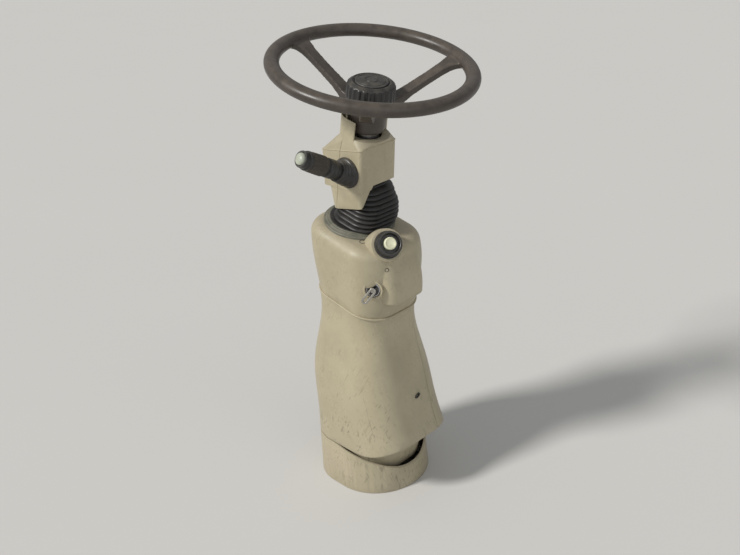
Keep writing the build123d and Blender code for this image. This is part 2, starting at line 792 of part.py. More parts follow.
with BuildPart() as head_ribs:
    with BuildSketch(head_side_view):
        for side in (1, -1):
            with Locations((side * (jacket_radius + seat_gap + head_side), rib_level)):
                Rectangle(2 * head_side, rib_width)
    extrude(amount=rib_thickness / 2, both=True)
    add(head_outer, mode=Mode.INTERSECT)

for name, side in (("head_front_shell", 1), ("head_rear_shell", -1)):
    with BuildPart() as shell:
        add(head_body.part)
        add(head_ribs.part)
        with BuildSketch(head_side_view):
            with Locations((seam_forward - side * (head_reach - seam_gap / 2), head_reach)):
                Rectangle(2 * head_reach, 4 * head_reach)
        extrude(amount=head_reach, both=True, mode=Mode.SUBTRACT)
    shell.part.label = name
    export_step(shell.part, f"parts/{name}.step")

# Column stalk on the head's left face
stalk_seat = Plane(origin=stalk_point, x_dir=(-1, 0, 0), z_dir=(0, 1, 0))
stalk_root = stalk_seat.offset(stalk_base)
stalk_line = Plane(
    origin=stalk_root.origin,
    x_dir=(-1, 0, 0),
    z_dir=(0, cos(radians(stalk_rise)), sin(radians(stalk_rise))),
)
with BuildPart() as stalk_boss:
    with BuildSketch(stalk_seat):
        Circle(stalk_boss_radius)
    extrude(amount=stalk_base)
    loft(
        sections=[
            disc(stalk_root, stalk_boss_radius - 2),
            disc(stalk_line.offset(stalk_boss_length), stalk_grip_radius + 2),
        ]
    )
stalk_boss.part.label = "stalk_boss"
export_step(stalk_boss.part, "parts/stalk_boss.step")

with BuildPart() as stalk_lever:
    with BuildSketch(side_view(stalk_root.origin, stalk_line.z_dir, stalk_line.x_dir)):
        with BuildLine():
            Polyline(*[(x, 0) for x in (stalk_boss_length, stalk_length)], close=False)
            Polyline((stalk_length, 0), *[(x, r) for x, r in reversed(stalk_profile)], (stalk_boss_length, 0))
        make_face()
    revolve(axis=Axis(stalk_root.origin, stalk_line.z_dir))
stalk_lever.part.label = "stalk_lever"
export_step(stalk_lever.part, "parts/stalk_lever.step")

with BuildPart() as stalk_cap:
    with BuildSketch(stalk_line.offset(stalk_length)):
        Circle(stalk_cap_radius)
    extrude(amount=6)
    fillet(stalk_cap.faces().sort_by(Axis(stalk_root.origin, stalk_line.z_dir))[-1].edges(), 5)
stalk_cap.part.label = "stalk_cap"
export_step(stalk_cap.part, "parts/stalk_cap.step")

# Steering wheel: hub with its shaft, rim with three spokes, lock knob and its cap
hub_top = wheel_distance - knob_top - knob_height
with BuildPart() as wheel_hub:
    with BuildSketch(head_side_view):
        with BuildLine():
            Line((0, sleeve_start + 2), (shaft_radius, sleeve_start + 2))
            Line((shaft_radius, sleeve_start + 2), (shaft_radius, hub_foot))
            Line((shaft_radius, hub_foot), (hub_foot_radius - 8, hub_foot))
            ThreePointArc(
                (hub_foot_radius - 8, hub_foot),
                (hub_foot_radius - 2.4, hub_foot + 2.4),
                (hub_foot_radius, hub_foot + 8),
            )
            Line((hub_foot_radius, hub_foot + 8), (hub_foot_radius + 2, hub_waist))
            ThreePointArc(
                (hub_foot_radius + 2, hub_waist),
                (hub_foot_radius + 5, hub_waist + 10),
                (spoke_root, hub_top - 8),
            )
            Line((spoke_root, hub_top - 8), (spoke_root, hub_top))
            Line((spoke_root, hub_top), (0, hub_top))
            Line((0, hub_top), (0, sleeve_start + 2))
        make_face()
    revolve(axis=Axis(high_pivot, head_up))
wheel_hub.part.label = "wheel_hub"
export_step(wheel_hub.part, "parts/wheel_hub.step")

with BuildPart() as wheel_rim:
    with BuildSketch(head_side_view):
        with Locations((rim_radius, wheel_distance)):
            Ellipse(rim_width / 2, rim_depth / 2)
    revolve(axis=Axis(high_pivot, head_up))
    for spoke in range(spoke_count):
        angle = radians(first_spoke + spoke * 360 / spoke_count)
        outward = head_forward * cos(angle) + Vector(0, 1, 0) * sin(angle)
        with BuildSketch(side_view(high_pivot, outward, head_up)):
            Polygon(
                (spoke_root + seat_gap, hub_top - spoke_depth),
                (spoke_root + seat_gap, hub_top),
                (spoke_rise, hub_top),
                (spoke_bend, wheel_distance - spoke_drop),
                (rim_radius, wheel_distance),
                (rim_radius, wheel_distance - rim_depth / 2 + 2),
                (spoke_bend, wheel_distance - spoke_drop - spoke_depth),
                (spoke_rise, hub_top - spoke_depth),
                align=None,
            )
        extrude(amount=spoke_width / 2, both=True)
    with BuildSketch(head.offset(hub_top - spoke_depth)):
        Circle(spoke_root + seat_gap + 6)
        Circle(spoke_root + seat_gap, mode=Mode.SUBTRACT)
    extrude(amount=spoke_depth)
wheel_rim.part.label = "wheel_rim"
export_step(wheel_rim.part, "parts/wheel_rim.step")

with BuildPart() as lock_knob:
    with BuildSketch(head.offset(hub_top)):
        Circle(knob_radius + 2)
        with PolarLocations(knob_radius + 3.2, knob_flutes):
            Circle(knob_flute_radius, mode=Mode.SUBTRACT)
    extrude(amount=knob_height, taper=3)
lock_knob.part.label = "lock_knob"
export_step(lock_knob.part, "parts/lock_knob.step")

with BuildPart() as knob_cap:
    with BuildSketch(head.offset(hub_top + knob_height)):
        Circle(knob_cap_radius)
    extrude(amount=knob_cap_height)
    fillet(knob_cap.faces().sort_by(Axis(high_pivot, head_up))[-1].edges(), 1.5)
knob_cap.part.label = "knob_cap"
export_step(knob_cap.part, "parts/knob_cap.step")
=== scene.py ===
import json
from math import cos, hypot, pi, radians, sin, tau

import bmesh
import bpy
from bpy.props import FloatProperty, FloatVectorProperty, IntProperty, PointerProperty
from bpy.types import Operator, Panel, PropertyGroup
from mathutils import Euler, Matrix, Vector

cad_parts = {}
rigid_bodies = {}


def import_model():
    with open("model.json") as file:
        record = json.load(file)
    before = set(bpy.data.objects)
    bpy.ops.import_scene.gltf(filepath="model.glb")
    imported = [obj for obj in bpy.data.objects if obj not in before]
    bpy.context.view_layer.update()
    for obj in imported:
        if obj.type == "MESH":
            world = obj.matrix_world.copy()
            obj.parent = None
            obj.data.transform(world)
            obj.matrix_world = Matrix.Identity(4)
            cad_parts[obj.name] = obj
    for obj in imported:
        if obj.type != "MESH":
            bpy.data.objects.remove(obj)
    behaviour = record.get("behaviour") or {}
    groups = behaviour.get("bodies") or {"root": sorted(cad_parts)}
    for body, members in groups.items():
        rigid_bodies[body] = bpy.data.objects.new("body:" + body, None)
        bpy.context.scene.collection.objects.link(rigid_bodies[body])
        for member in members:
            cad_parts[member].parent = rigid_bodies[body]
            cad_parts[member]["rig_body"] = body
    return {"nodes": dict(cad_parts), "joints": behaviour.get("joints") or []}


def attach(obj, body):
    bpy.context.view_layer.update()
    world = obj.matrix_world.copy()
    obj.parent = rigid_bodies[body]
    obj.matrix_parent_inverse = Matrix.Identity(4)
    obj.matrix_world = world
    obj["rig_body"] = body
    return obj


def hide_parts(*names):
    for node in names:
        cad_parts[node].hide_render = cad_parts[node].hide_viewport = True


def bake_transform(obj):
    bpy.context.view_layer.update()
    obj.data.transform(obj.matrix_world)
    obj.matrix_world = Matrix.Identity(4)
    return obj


bl_info = {
    "name": "Harvester Steering Column",
    "version": (1, 0, 0),
    "blender": (4, 5, 0),
    "location": "3D View > Sidebar > Column",
    "description": "Dresses the packed steering column with its covers, bellows, wheel and switches",
    "category": "Object",
}

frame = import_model()
nodes = frame["nodes"]
joints = {joint["name"]: joint for joint in frame["joints"]}
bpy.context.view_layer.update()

MM = 0.001
LEFT = Vector((0, 1, 0))
UP = Vector((0, 0, 1))

# Places that the CAD model gives
head_pivot = Vector(joints["head_tilt"]["pos_m"])
head_up = Vector(joints["telescope"]["axis"]).normalized()
head_forward = LEFT.cross(head_up)
foot_pivot = Vector(joints["column_tilt"]["pos_m"])
column_up = (head_pivot - foot_pivot).normalized()

# Heights along the head's axis from the upper pivot, and radii about it, in millimetres
RIM_HEIGHT = 299
RIM_RADIUS = 176
HUB_FOOT = 178
HUB_TOP = 239
KNOB_TOP = 273
RING_BORE = 55
RING_RADIUS = 69
RING_FACE = -7
RING_FOOT = -16
BELLOWS_TOP = 80
CUFF = 9
TUBE_RADIUS = 25.3

# Gaiter ring: radius and height
RING_PROFILE = (
    (RING_BORE, RING_FOOT), (RING_RADIUS, RING_FOOT), (RING_RADIUS, RING_FOOT + 3.4),
    (RING_RADIUS - 0.8, RING_FOOT + 4.4), (RING_RADIUS - 4.2, RING_FOOT + 5.0),
    (RING_RADIUS - 4.8, RING_FOOT + 5.6), (RING_RADIUS - 5.0, RING_FOOT + 7.0),
    (RING_RADIUS - 5.8, RING_FOOT + 7.8), (RING_RADIUS - 9.0, RING_FOOT + 8.2),
    (RING_RADIUS - 9.6, RING_FACE), (RING_BORE + 1.0, RING_FACE), (RING_BORE, RING_FACE - 1.0),
)

# Bellows: share of its height, then reach to the front, rear, left and right, and front and rear corner
BELLOWS = (
    (0.0, 48, 64, 52, 58, 46, 44),
    (0.2, 40, 62, 44, 62, 38, 34),
    (0.5, 40, 60, 40, 62, 36, 36),
    (0.7, 35, 52, 37, 56, 35, 34),
    (0.82, 34, 47, 36, 57, 34, 34),
    (0.9, 35, 38, 35, 48, 32, 28),
    (1.0, 34, 30, 34, 34, 30, 20),
)
FOLD_STEPS = 8
LOOP_POINTS = 96
BELLOWS_WALL = 2.5
LINING_SHARES = (0.85, 0.6, 0.3, 0.08)

# Spoke: distance from the hub's axis, height of the top, height of the underside, half the width
SPOKE = (
    (12, 238.5, 212, 18),
    (36, 238.5, 212, 18),
    (50, 240, 214, 15.5),
    (62, 246.5, 227, 13.5),
    (80, 256.5, 240.5, 12.6),
    (110, 273, 258, 12.3),
    (136, 288, 272.5, 13),
    (150, 295, 281, 16.5),
    (160, 298, 286, 22),
    (170, 300, 289, 31),
    (177, 301, 291, 36),
)
SPOKE_UNDERSIDE = 0.8
RIM_SIDES = 28
RIM_STEPS = 180
SKIN_VOXEL = 1.5
SKIN_PASSES = 5

# Hub: radius and height
HUB_PROFILE = (
    (0, HUB_FOOT + 0.5), (22, HUB_FOOT + 0.5), (29.5, HUB_FOOT + 2.4), (32, HUB_FOOT + 8), (33, 200),
    (34.5, 210), (38, 223), (42, 233), (43.5, HUB_TOP - 0.3), (0, HUB_TOP - 0.3),
)

# Knob: height above the hub, radius and share of the ribs' depth
KNOB_ROWS = (
    (0, 20, 0), (0, 41.5, 0), (0.8, 42.6, 0), (3.4, 42.8, 0), (4.0, 44.2, 0.5), (4.8, 44.9, 1), (14, 44.6, 1),
    (24, 44.1, 1), (26.5, 43.8, 0.9), (28.4, 43.1, 0.5), (29.6, 42.0, 0.1), (30.8, 40.2, 0), (33.0, 37.2, 0),
    (33.8, 35.6, 0), (33.9, 34.6, 0), (32.6, 33.4, 0), (32.5, 31.8, 0), (30, 30.8, 0), (30, 20, 0),
)
RIB_POINTS = 10

# Knob's top: radius and height above the knob
KNOB_TOP_PROFILE = (
    (0, -2.8), (30.4, -2.8), (30.4, -0.4), (29.6, 0.5), (27.2, 1.0), (26.4, 0.4), (25.0, 0.4), (24.2, 1.2),
    (18.4, 2.1), (12.4, 2.5), (11.8, 1.9), (11.0, 1.9), (10.4, 2.6), (0, 2.8),
)

# Covers: height of their rim along the column, and the roof of the head above the upper pivot
RIM_LEVEL = 345
RIM_OUTLINE = (80.1, 101.1, 78, 78, 57, 57)
ROOF_LEVEL = 141
ROOF_TILT = 7
ROOF_OUTLINE = (42, 68, 46, 8)
ROOF_SEAM = -12.2
ROOF_SEAM_GAP = 0.8
BEAD_RADIUS = 1.3
BEAD_POINTS = 12
# Lip on the covers' rim: how far it stands out and up
LIP_PROFILE = (
    (-3.4, -0.6), (-2.6, 0.5), (0.6, 0.9), (1.7, 0.3), (2.0, -0.9), (1.5, -2.4), (0.2, -4.6), (-3.4, -4.6),
)

# Shroud round the front of the neck: where its wall starts, reach to the front, half width and corner,
# then its height along the head's axis, how far it leans out, and its wall
SHROUD_OUTLINE = (-8, 49, 42, 36)
SHROUD_ROWS = (
    (150, 1.0, 2.5),
    (172, 0.0, 2.5),
    (202.5, 0.0, 2.5),
    (204.3, -0.5, 2.0),
    (205, -1.0, 1.5),
)

# Recessed screws, drawn as black wells: the black is partly the screws' own and partly painted shade in their
# recesses. Point on the surface, the way it faces, radius, and how long the hole is for its width
SCREWS = (
    ("cowl_screw_left", (-74.6, 47, 558.6), (-0.22, 0.0, 0.97), 5.4, 1.0),
    ("cowl_screw_rear", (-129.6, 42.1, 514), (-0.84, 0.52, 0.18), 3.6, 1.0),
    ("cover_screw", (-137, -10, 217), (-0.98, 0.0, 0.18), 2.9, 2.2),
)

# Switches: point on the surface, direction to the left of forward, and rise, in degrees
SOCKET = ((-124, 30, 559), 157, 30)
KEY = ((-114.5, 67, 477.5), 128, 8)
KEY_TURN = -130
# Key's bow: outer and inner width, length and thickness
KEY_BOW = (13.0, 5.6, 24, 3.4)
KEY_BOW_HEIGHT = 4.6

# Radius and height of the socket, its lighter, and the key's cup, bezel and shank
SOCKET_PROFILE = (
    (14.4, -30), (14.4, 0.2), (25.6, 0.2), (26.2, 1.0), (26.0, 3.0), (23.6, 4.2), (23.2, 5.4), (23.9, 15.6),
    (23.2, 17.4), (21.8, 18), (19.8, 18), (19.0, 17.2), (18.4, 12.0), (17.6, 11.2), (12.5, 11.2),
    (12.3, 10.4), (12.3, -30),
)
LIGHTER_PROFILE = (
    (0, -22), (11.8, -22), (11.8, 17.6), (11.6, 18.8), (10.8, 19.6), (9.6, 19.9), (8.8, 19.3), (0, 19.0),
)
CUP_PROFILE = ((18.5, 0), (18.5, 0.6), (17.8, 1.4), (15.6, 1.4), (14.6, 0.6), (14.5, -0.2), (18.5, -0.2))
BEZEL_PROFILE = (
    (14.0, -11), (14.0, -2.0), (13.2, -1.2), (11.4, -1.0), (10.6, -1.8), (10.4, -2.9), (10.4, -11),
)
SHANK_PROFILE = ((0, -3), (4.4, -3), (4.4, 3.6), (3.6, 4.8), (0, 4.8))

# Column stalk: its foot on the head, and radii of the boot that turns from the foot to the lever
STALK_POINT = Vector((-50, 46, 690))
STALK_FOOT = 8
STALK_RISE = 30
STALK_ROOT = 22
STALK_FOOT_PROFILE = (
    (0, 0), (28.6, 0), (29, 1), (29, 5), (27.8, 6.6), (26.6, 7.4), (26, STALK_FOOT), (0, STALK_FOOT),
)
BOOT_RADII = (26.4, 25.8, 24.6, 25.2, 23.4, 22.2, 22.9, 21.4, 20.2, 20.4, 19.4)
# Radius and distance along the lever
LEVER_PROFILE = (
    (0, 21), (16, 21), (16, 30), (17.2, 31.2), (18, 34), (18, 39.5), (17.2, 40.3), (17.2, 41.7), (18, 42.5),
    (18, 49), (17, 50.4), (15, 51.6), (15, 58), (0, 58),
)
TIP_PROFILE = (
    (0, 94.1), (16.2, 94.1), (17.4, 95), (18, 96.6), (17.6, 100.4), (16.6, 101.4), (15.6, 102), (15.5, 110.6),
    (14.8, 112), (12.6, 112), (11.9, 111.2), (11.6, 109), (0, 109),
)
BUTTON_PROFILE = (
    (0, 108.5), (11.2, 108.5), (11.2, 113), (10.4, 115), (8.6, 116.6), (6, 117.5), (3, 117.9), (0, 118),
)
# Distance along the lever, radius and share of the ribs' depth
COLLAR_ROWS = (
    (56.5, 14.6, 0), (57.0, 16.4, 0), (58.2, 18.2, 0.4), (59.8, 18.9, 1), (74.0, 18.8, 1), (75.0, 18.3, 0.2),
    (76.4, 18.3, 0.2), (77.4, 18.7, 1), (91.5, 18.2, 1), (93.0, 17.6, 0.4), (94.0, 16.4, 0), (94.6, 15.0, 0),
)
COLLAR_RIBS = 36
COLLAR_RIB_DEPTH = 0.9


# Shapes


def placement(origin, forward, up):
    """Matrix that stands local z on up and turns local x towards forward, at an origin."""
    left = up.cross(forward).normalized()
    matrix = Matrix((left.cross(up).normalized(), left, up.normalized())).transposed().to_4x4()
    matrix.translation = origin
    return matrix


def facing(point, turn, rise):
    """Matrix at a switch, with local z along its axis and local x level."""
    flat = Vector((cos(radians(turn)), sin(radians(turn)), 0))
    normal = flat * cos(radians(rise)) + UP * sin(radians(rise))
    return placement(Vector(point) * MM, UP.cross(flat), normal)


HEAD = placement(head_pivot, head_forward, head_up)
COVER_RIM = placement(foot_pivot + column_up * RIM_LEVEL * MM, head_forward, head_up)
ROOF = placement(
    head_pivot + UP * ROOF_LEVEL * MM,
    Vector((cos(radians(ROOF_TILT)), 0, -sin(radians(ROOF_TILT)))),
    Vector((sin(radians(ROOF_TILT)), 0, cos(radians(ROOF_TILT)))),
)


def turned(profile, steps=96, closed=False):
    """Mesh of a profile of radius and height, in millimetres, turned about local z."""
    bm = bmesh.new()
    row = [bm.verts.new((radius * MM, 0, height * MM)) for radius, height in profile]
    for pair in zip(row, row[1:]):
        bm.edges.new(pair)
    if closed:
        bm.edges.new((row[-1], row[0]))
    spun(bm, steps)
    return bm


def spun(bm, steps):
    """Turns all of a mesh about local z, into a closed skin."""
    geometry = bm.verts[:] + bm.edges[:]
    bmesh.ops.spin(
        bm, geom=geometry, cent=(0, 0, 0), axis=(0, 0, 1), angle=tau, steps=steps, use_merge=True
    )
    tidy(bm)


def tidy(bm):
    """Joins points that meet, drops faces without area and turns every face outwards."""
    bmesh.ops.remove_doubles(bm, verts=bm.verts, dist=2e-6)
    bmesh.ops.dissolve_degenerate(bm, edges=bm.edges, dist=1e-7)
    bmesh.ops.recalc_face_normals(bm, faces=bm.faces)


def rings(loops, joined=False):
    """Skin over loops of points, each pulled out of the one before; joined closes the last on the first."""
    bm = bmesh.new()
    bmesh.ops.create_circle(bm, cap_ends=False, segments=len(loops[0]), radius=1)
    bm.verts.ensure_lookup_table()
    verts = list(bm.verts)
    first = edges = list(bm.edges)
    for vert, point in zip(verts, loops[0]):
        vert.co = point
    for loop in loops[1:]:
        made = bmesh.ops.extrude_edge_only(bm, edges=edges)["geom"]
        edges = [item for item in made if isinstance(item, bmesh.types.BMEdge)]
        edges = [edge for edge in edges if len(edge.link_faces) == 1]
        fresh = {item for edge in edges for item in edge.verts}
        following = []
        for vert in verts:
            across = [edge.other_vert(vert) for edge in vert.link_edges]
            following.append(next(other for other in across if other in fresh))
        verts = following
        for vert, point in zip(verts, loop):
            vert.co = point
    if joined:
        bmesh.ops.bridge_loops(bm, edges=first + edges)
    else:
        for ring in (first, edges):
            bmesh.ops.contextual_create(bm, geom=ring)
    tidy(bm)
    return bm


def circle(radius, height, count, ribs=0, depth=0.0):
    """Loop of points round local z, with ribs cut into it."""
    loop = []
    for step in range(count):
        angle = tau * step / count
        reach = radius - depth * (0.5 - 0.5 * cos(angle * ribs)) ** 1.4
        loop.append(Vector((reach * cos(angle), reach * sin(angle), height)) * MM)
    return loop


def soften(bm, width, segments, limit):
    """Rounds every edge that turns by more than the limit, in degrees."""
    shared = [edge for edge in bm.edges if len(edge.link_faces) == 2]
    sharp = [edge for edge in shared if edge.calc_face_angle(0) > radians(limit)]
    bmesh.ops.bevel(
        bm, geom=sharp, offset=width * MM, affect="EDGES", segments=segments, profile=0.5, clamp_overlap=True
    )


def merged(*parts):
    """One bmesh from several."""
    bm = bmesh.new()
    for part in parts:
        mesh = bpy.data.meshes.new("part")
        part.to_mesh(mesh)
        part.free()
        bm.from_mesh(mesh)
        bpy.data.meshes.remove(mesh)
    return bm


def piece(name, bm, finish, body, replaced, placed=None, sharp=35):
    """Object from a bmesh, in place, with its finish, body and material slot."""
    if placed is not None:
        bmesh.ops.transform(bm, matrix=placed, verts=bm.verts)
    mesh = bpy.data.meshes.new(name)
    bm.to_mesh(mesh)
    bm.free()
    mesh.shade_smooth()
    mesh.set_sharp_from_angle(angle=radians(sharp))
    mesh.materials.append(finish)
    made = bpy.data.objects.new(name, mesh)
    bpy.context.scene.collection.objects.link(made)
    if body:
        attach(made, body)
    if replaced:
        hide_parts(*replaced)
    return made


def rounded_copy(name, node, finish, width):
    """Copy of a CAD node whose edges are rounded, in place of the node."""
    bm = bmesh.new()
    bm.from_mesh(nodes[node].data)
    bmesh.ops.remove_doubles(bm, verts=bm.verts, dist=1e-5)
    bmesh.ops.dissolve_limit(
        bm, angle_limit=radians(0.6), use_dissolve_boundaries=False, verts=bm.verts, edges=bm.edges
    )
    made = piece(name, bm, finish, nodes[node]["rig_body"], (node,), sharp=180)
    rounding = made.modifiers.new("Rounded edges", "BEVEL")
    rounding.width = width * MM
    rounding.segments = 2
    rounding.limit_method = "ANGLE"
    rounding.angle_limit = radians(32)
    rounding.use_clamp_overlap = True
    rounding.harden_normals = True


def remeshed(bm, size, passes):
    """Closed skin over overlapping solids, with the corners between them softened."""
    mesh = bpy.data.meshes.new("rough")
    bm.to_mesh(mesh)
    bm.free()
    rough = bpy.data.objects.new("rough", mesh)
    bpy.context.scene.collection.objects.link(rough)
    skin = rough.modifiers.new("Skin", "REMESH")
    skin.mode = "VOXEL"
    skin.voxel_size = size * MM
    skin.adaptivity = 0
    graph = bpy.context.evaluated_depsgraph_get()
    result = bmesh.new()
    result.from_object(rough, graph)
    bpy.data.objects.remove(rough)
    bpy.data.meshes.remove(mesh)
    for _ in range(passes):
        bmesh.ops.smooth_vert(
            result, verts=result.verts, factor=0.5, use_axis_x=True, use_axis_y=True, use_axis_z=True
        )
    bmesh.ops.recalc_face_normals(result, faces=result.faces)
    return result


# Finishes


def feed(tree, socket, value):
    """Links a socket, or sets its value."""
    if isinstance(value, bpy.types.NodeSocket):
        tree.links.new(value, socket)
    else:
        socket.default_value = value


def add(tree, kind, sockets=None, **settings):
    """New shader node with its settings and inputs."""
    node = tree.nodes.new(kind)
    for name, value in settings.items():
        setattr(node, name, value)
    for name, value in (sockets or {}).items():
        feed(tree, node.inputs[name], value)
    return node


def tint(tree, share, low, high):
    """Colour between two, by a share."""
    return add(tree, "ShaderNodeMix", {0: share, 6: low, 7: high}, data_type="RGBA").outputs[2]


def remap(tree, value, low, high, to_low=0.0, to_high=1.0):
    """Value brought from one range to another, smoothly and within it."""
    sockets = {0: value, 1: low, 2: high, 3: to_low, 4: to_high}
    return add(tree, "ShaderNodeMapRange", sockets, interpolation_type="SMOOTHSTEP").outputs[0]


def sums(tree, way, first, second):
    """Result of one step of arithmetic on two values."""
    return add(tree, "ShaderNodeMath", {0: first, 1: second}, operation=way).outputs[0]


def times(tree, first, second):
    """Product of two values."""
    return sums(tree, "MULTIPLY", first, second)


def noise(tree, place, scale, detail=3.0, roughness=0.55):
    """Soft random value over a surface."""
    sockets = {"Vector": place, "Scale": scale, "Detail": detail, "Roughness": roughness}
    return add(tree, "ShaderNodeTexNoise", sockets).outputs[0]


def here(tree):
    """Object coordinates."""
    return add(tree, "ShaderNodeTexCoord").outputs["Object"]


def effect(name, output, **inputs):
    """Empty shader node group with its sockets, and its two ends."""
    group = bpy.data.node_groups.new(name, "ShaderNodeTree")
    for label, default in inputs.items():
        kind = "NodeSocketVector" if isinstance(default, tuple) else "NodeSocketFloat"
        group.interface.new_socket(label, in_out="INPUT", socket_type=kind).default_value = default
    group.interface.new_socket(output, in_out="OUTPUT", socket_type="NodeSocketFloat")
    return group, add(group, "NodeGroupInput"), add(group, "NodeGroupOutput")


def make_grain():
    """Fine moulded texture of plastic, rubber or cast metal."""
    group, given, result = effect("Moulded Grain", "Height", Scale=900.0)
    place = here(group)
    fine = noise(group, place, given.outputs[0], 4.0, 0.6)
    sockets = {"Vector": place, "Scale": given.outputs[0]}
    cells = add(group, "ShaderNodeTexVoronoi", sockets, feature="SMOOTH_F1")
    feed(group, result.inputs[0], sums(group, "ADD", fine, cells.outputs[0]))
    return group


def make_dust():
    """Dust that settles on surfaces that face up, in patches."""
    group, given, result = effect("Settled Dust", "Mask", Amount=0.5, Scale=40.0)
    upward = add(group, "ShaderNodeSeparateXYZ", {0: add(group, "ShaderNodeNewGeometry").outputs["Normal"]})
    facing_up = remap(group, upward.outputs[2], 0.05, 0.95, 0.12, 1.0)
    patches = remap(group, noise(group, here(group), given.outputs[1], 6.0, 0.65), 0.34, 0.66, 0.25, 1.0)
    feed(group, result.inputs[0], times(group, times(group, facing_up, patches), given.outputs[0]))
    return group


def make_wear():
    """Edges rubbed paler by hands and boots."""
    group, given, result = effect("Edge Wear", "Mask", Start=0.52, Scale=120.0)
    edge = add(group, "ShaderNodeNewGeometry").outputs["Pointiness"]
    lifted = sums(group, "SUBTRACT", edge, given.outputs[0])
    broken = remap(group, noise(group, here(group), given.outputs[1], 5.0, 0.7), 0.35, 0.65, 0.15, 1.0)
    feed(group, result.inputs[0], times(group, remap(group, lifted, 0.0, 0.08), broken))
    return group


def make_scuffs():
    """Thin rubbed marks that run one way, in patches."""
    group, given, result = effect(
        "Scuff Marks", "Mask", Turn=(0.0, 0.0, 0.0), Stretch=(150.0, 150.0, 9.0), Cover=0.5
    )
    place = here(group)
    turned_place = add(group, "ShaderNodeMapping", {"Vector": place, "Rotation": given.outputs[0]})
    long_place = add(
        group, "ShaderNodeVectorMath", {0: turned_place.outputs[0], 1: given.outputs[1]}, operation="MULTIPLY"
    )
    lines = remap(group, noise(group, long_place.outputs[0], 1.0, 1.5, 0.5), 0.6, 0.72)
    patch = sums(group, "ADD", noise(group, place, 17.0, 3.0), given.outputs[2])
    feed(group, result.inputs[0], times(group, lines, remap(group, patch, 1.0, 1.16)))
    return group


effects = {}
finishes = {}


def placed_effect(tree, name, **values):
    """Output of one of the shared effects, set up for a finish."""
    makers = {"grain": make_grain, "dust": make_dust, "wear": make_wear, "scuffs": make_scuffs}
    if name not in effects:
        effects[name] = makers[name]()
    node = add(tree, "ShaderNodeGroup", node_tree=effects[name])
    for label, value in values.items():
        feed(tree, node.inputs[label.capitalize()], value)
    return node.outputs[0]


def blank(name):
    """New material with its shader, ready for links."""
    material = bpy.data.materials.new(name)
    material.use_nodes = True
    return material, material.node_tree, material.node_tree.nodes["Principled BSDF"]


def relief(tree, shader, height, depth, strength=1.0):
    """Bump from a height, in millimetres."""
    bump = add(tree, "ShaderNodeBump", {"Height": height, "Distance": depth * MM, "Strength": strength})
    tree.links.new(bump.outputs[0], shader.inputs["Normal"])


def shade(colour, factor):
    """A colour made darker or lighter, with full alpha."""
    return (*[min(1.0, part * factor) for part in colour[:3]], 1.0)


DUST = (0.40, 0.345, 0.255, 1.0)


def crease_mask(tree, place):
    """Thin broken scrape that leans forward up the left rear of the pedestal."""
    along, side, height = add(tree, "ShaderNodeSeparateXYZ", {0: place}).outputs
    foot, top, lean, behind, sway = 0.135, 0.265, 0.263, 0.1497, 0.010
    line = sums(tree, "ADD", along, sums(tree, "SUBTRACT", behind, times(tree, height, lean)))
    waver = times(tree, sums(tree, "SUBTRACT", noise(tree, place, 26.0, 4.0, 0.6), 0.5), sway)
    off_line = sums(tree, "ABSOLUTE", sums(tree, "ADD", line, waver), 0.0)
    thin = remap(tree, off_line, 0.0002, 0.0009, 1.0, 0.0)
    broken = remap(tree, noise(tree, place, 55.0, 3.0, 0.6), 0.42, 0.56, 0.1, 1.0)
    above = remap(tree, height, foot, foot + 0.02)
    below = remap(tree, height, top, top - 0.04)
    left = remap(tree, side, 0.045, 0.055)
    mask = times(tree, times(tree, thin, broken), left)
    return times(tree, mask, times(tree, above, below))


# Streaks on the covers: turn, stretch across and along, how many more than the setting says, two shares
# of the way down with the strength at each, and shade
STREAKS = (
    ((0.12, 0.08, 0.0), 95.0, 6.0, 0.0, (0.0, 1.0, 0.12, 0.8), 0.38),
    ((0.5, 0.55, 0.3), 330.0, 16.0, -0.02, (0.0, 1.0, 0.45, 0.45), 1.3),
    ((-0.35, 0.5, 0.2), 230.0, 15.0, 0.02, (0.0, 0.6, 0.3, 0.85), 0.5),
    ((0.3, -0.3, 0.1), 420.0, 17.0, 0.05, (0.1, 0.8, 0.1, 0.7), 0.42),
)


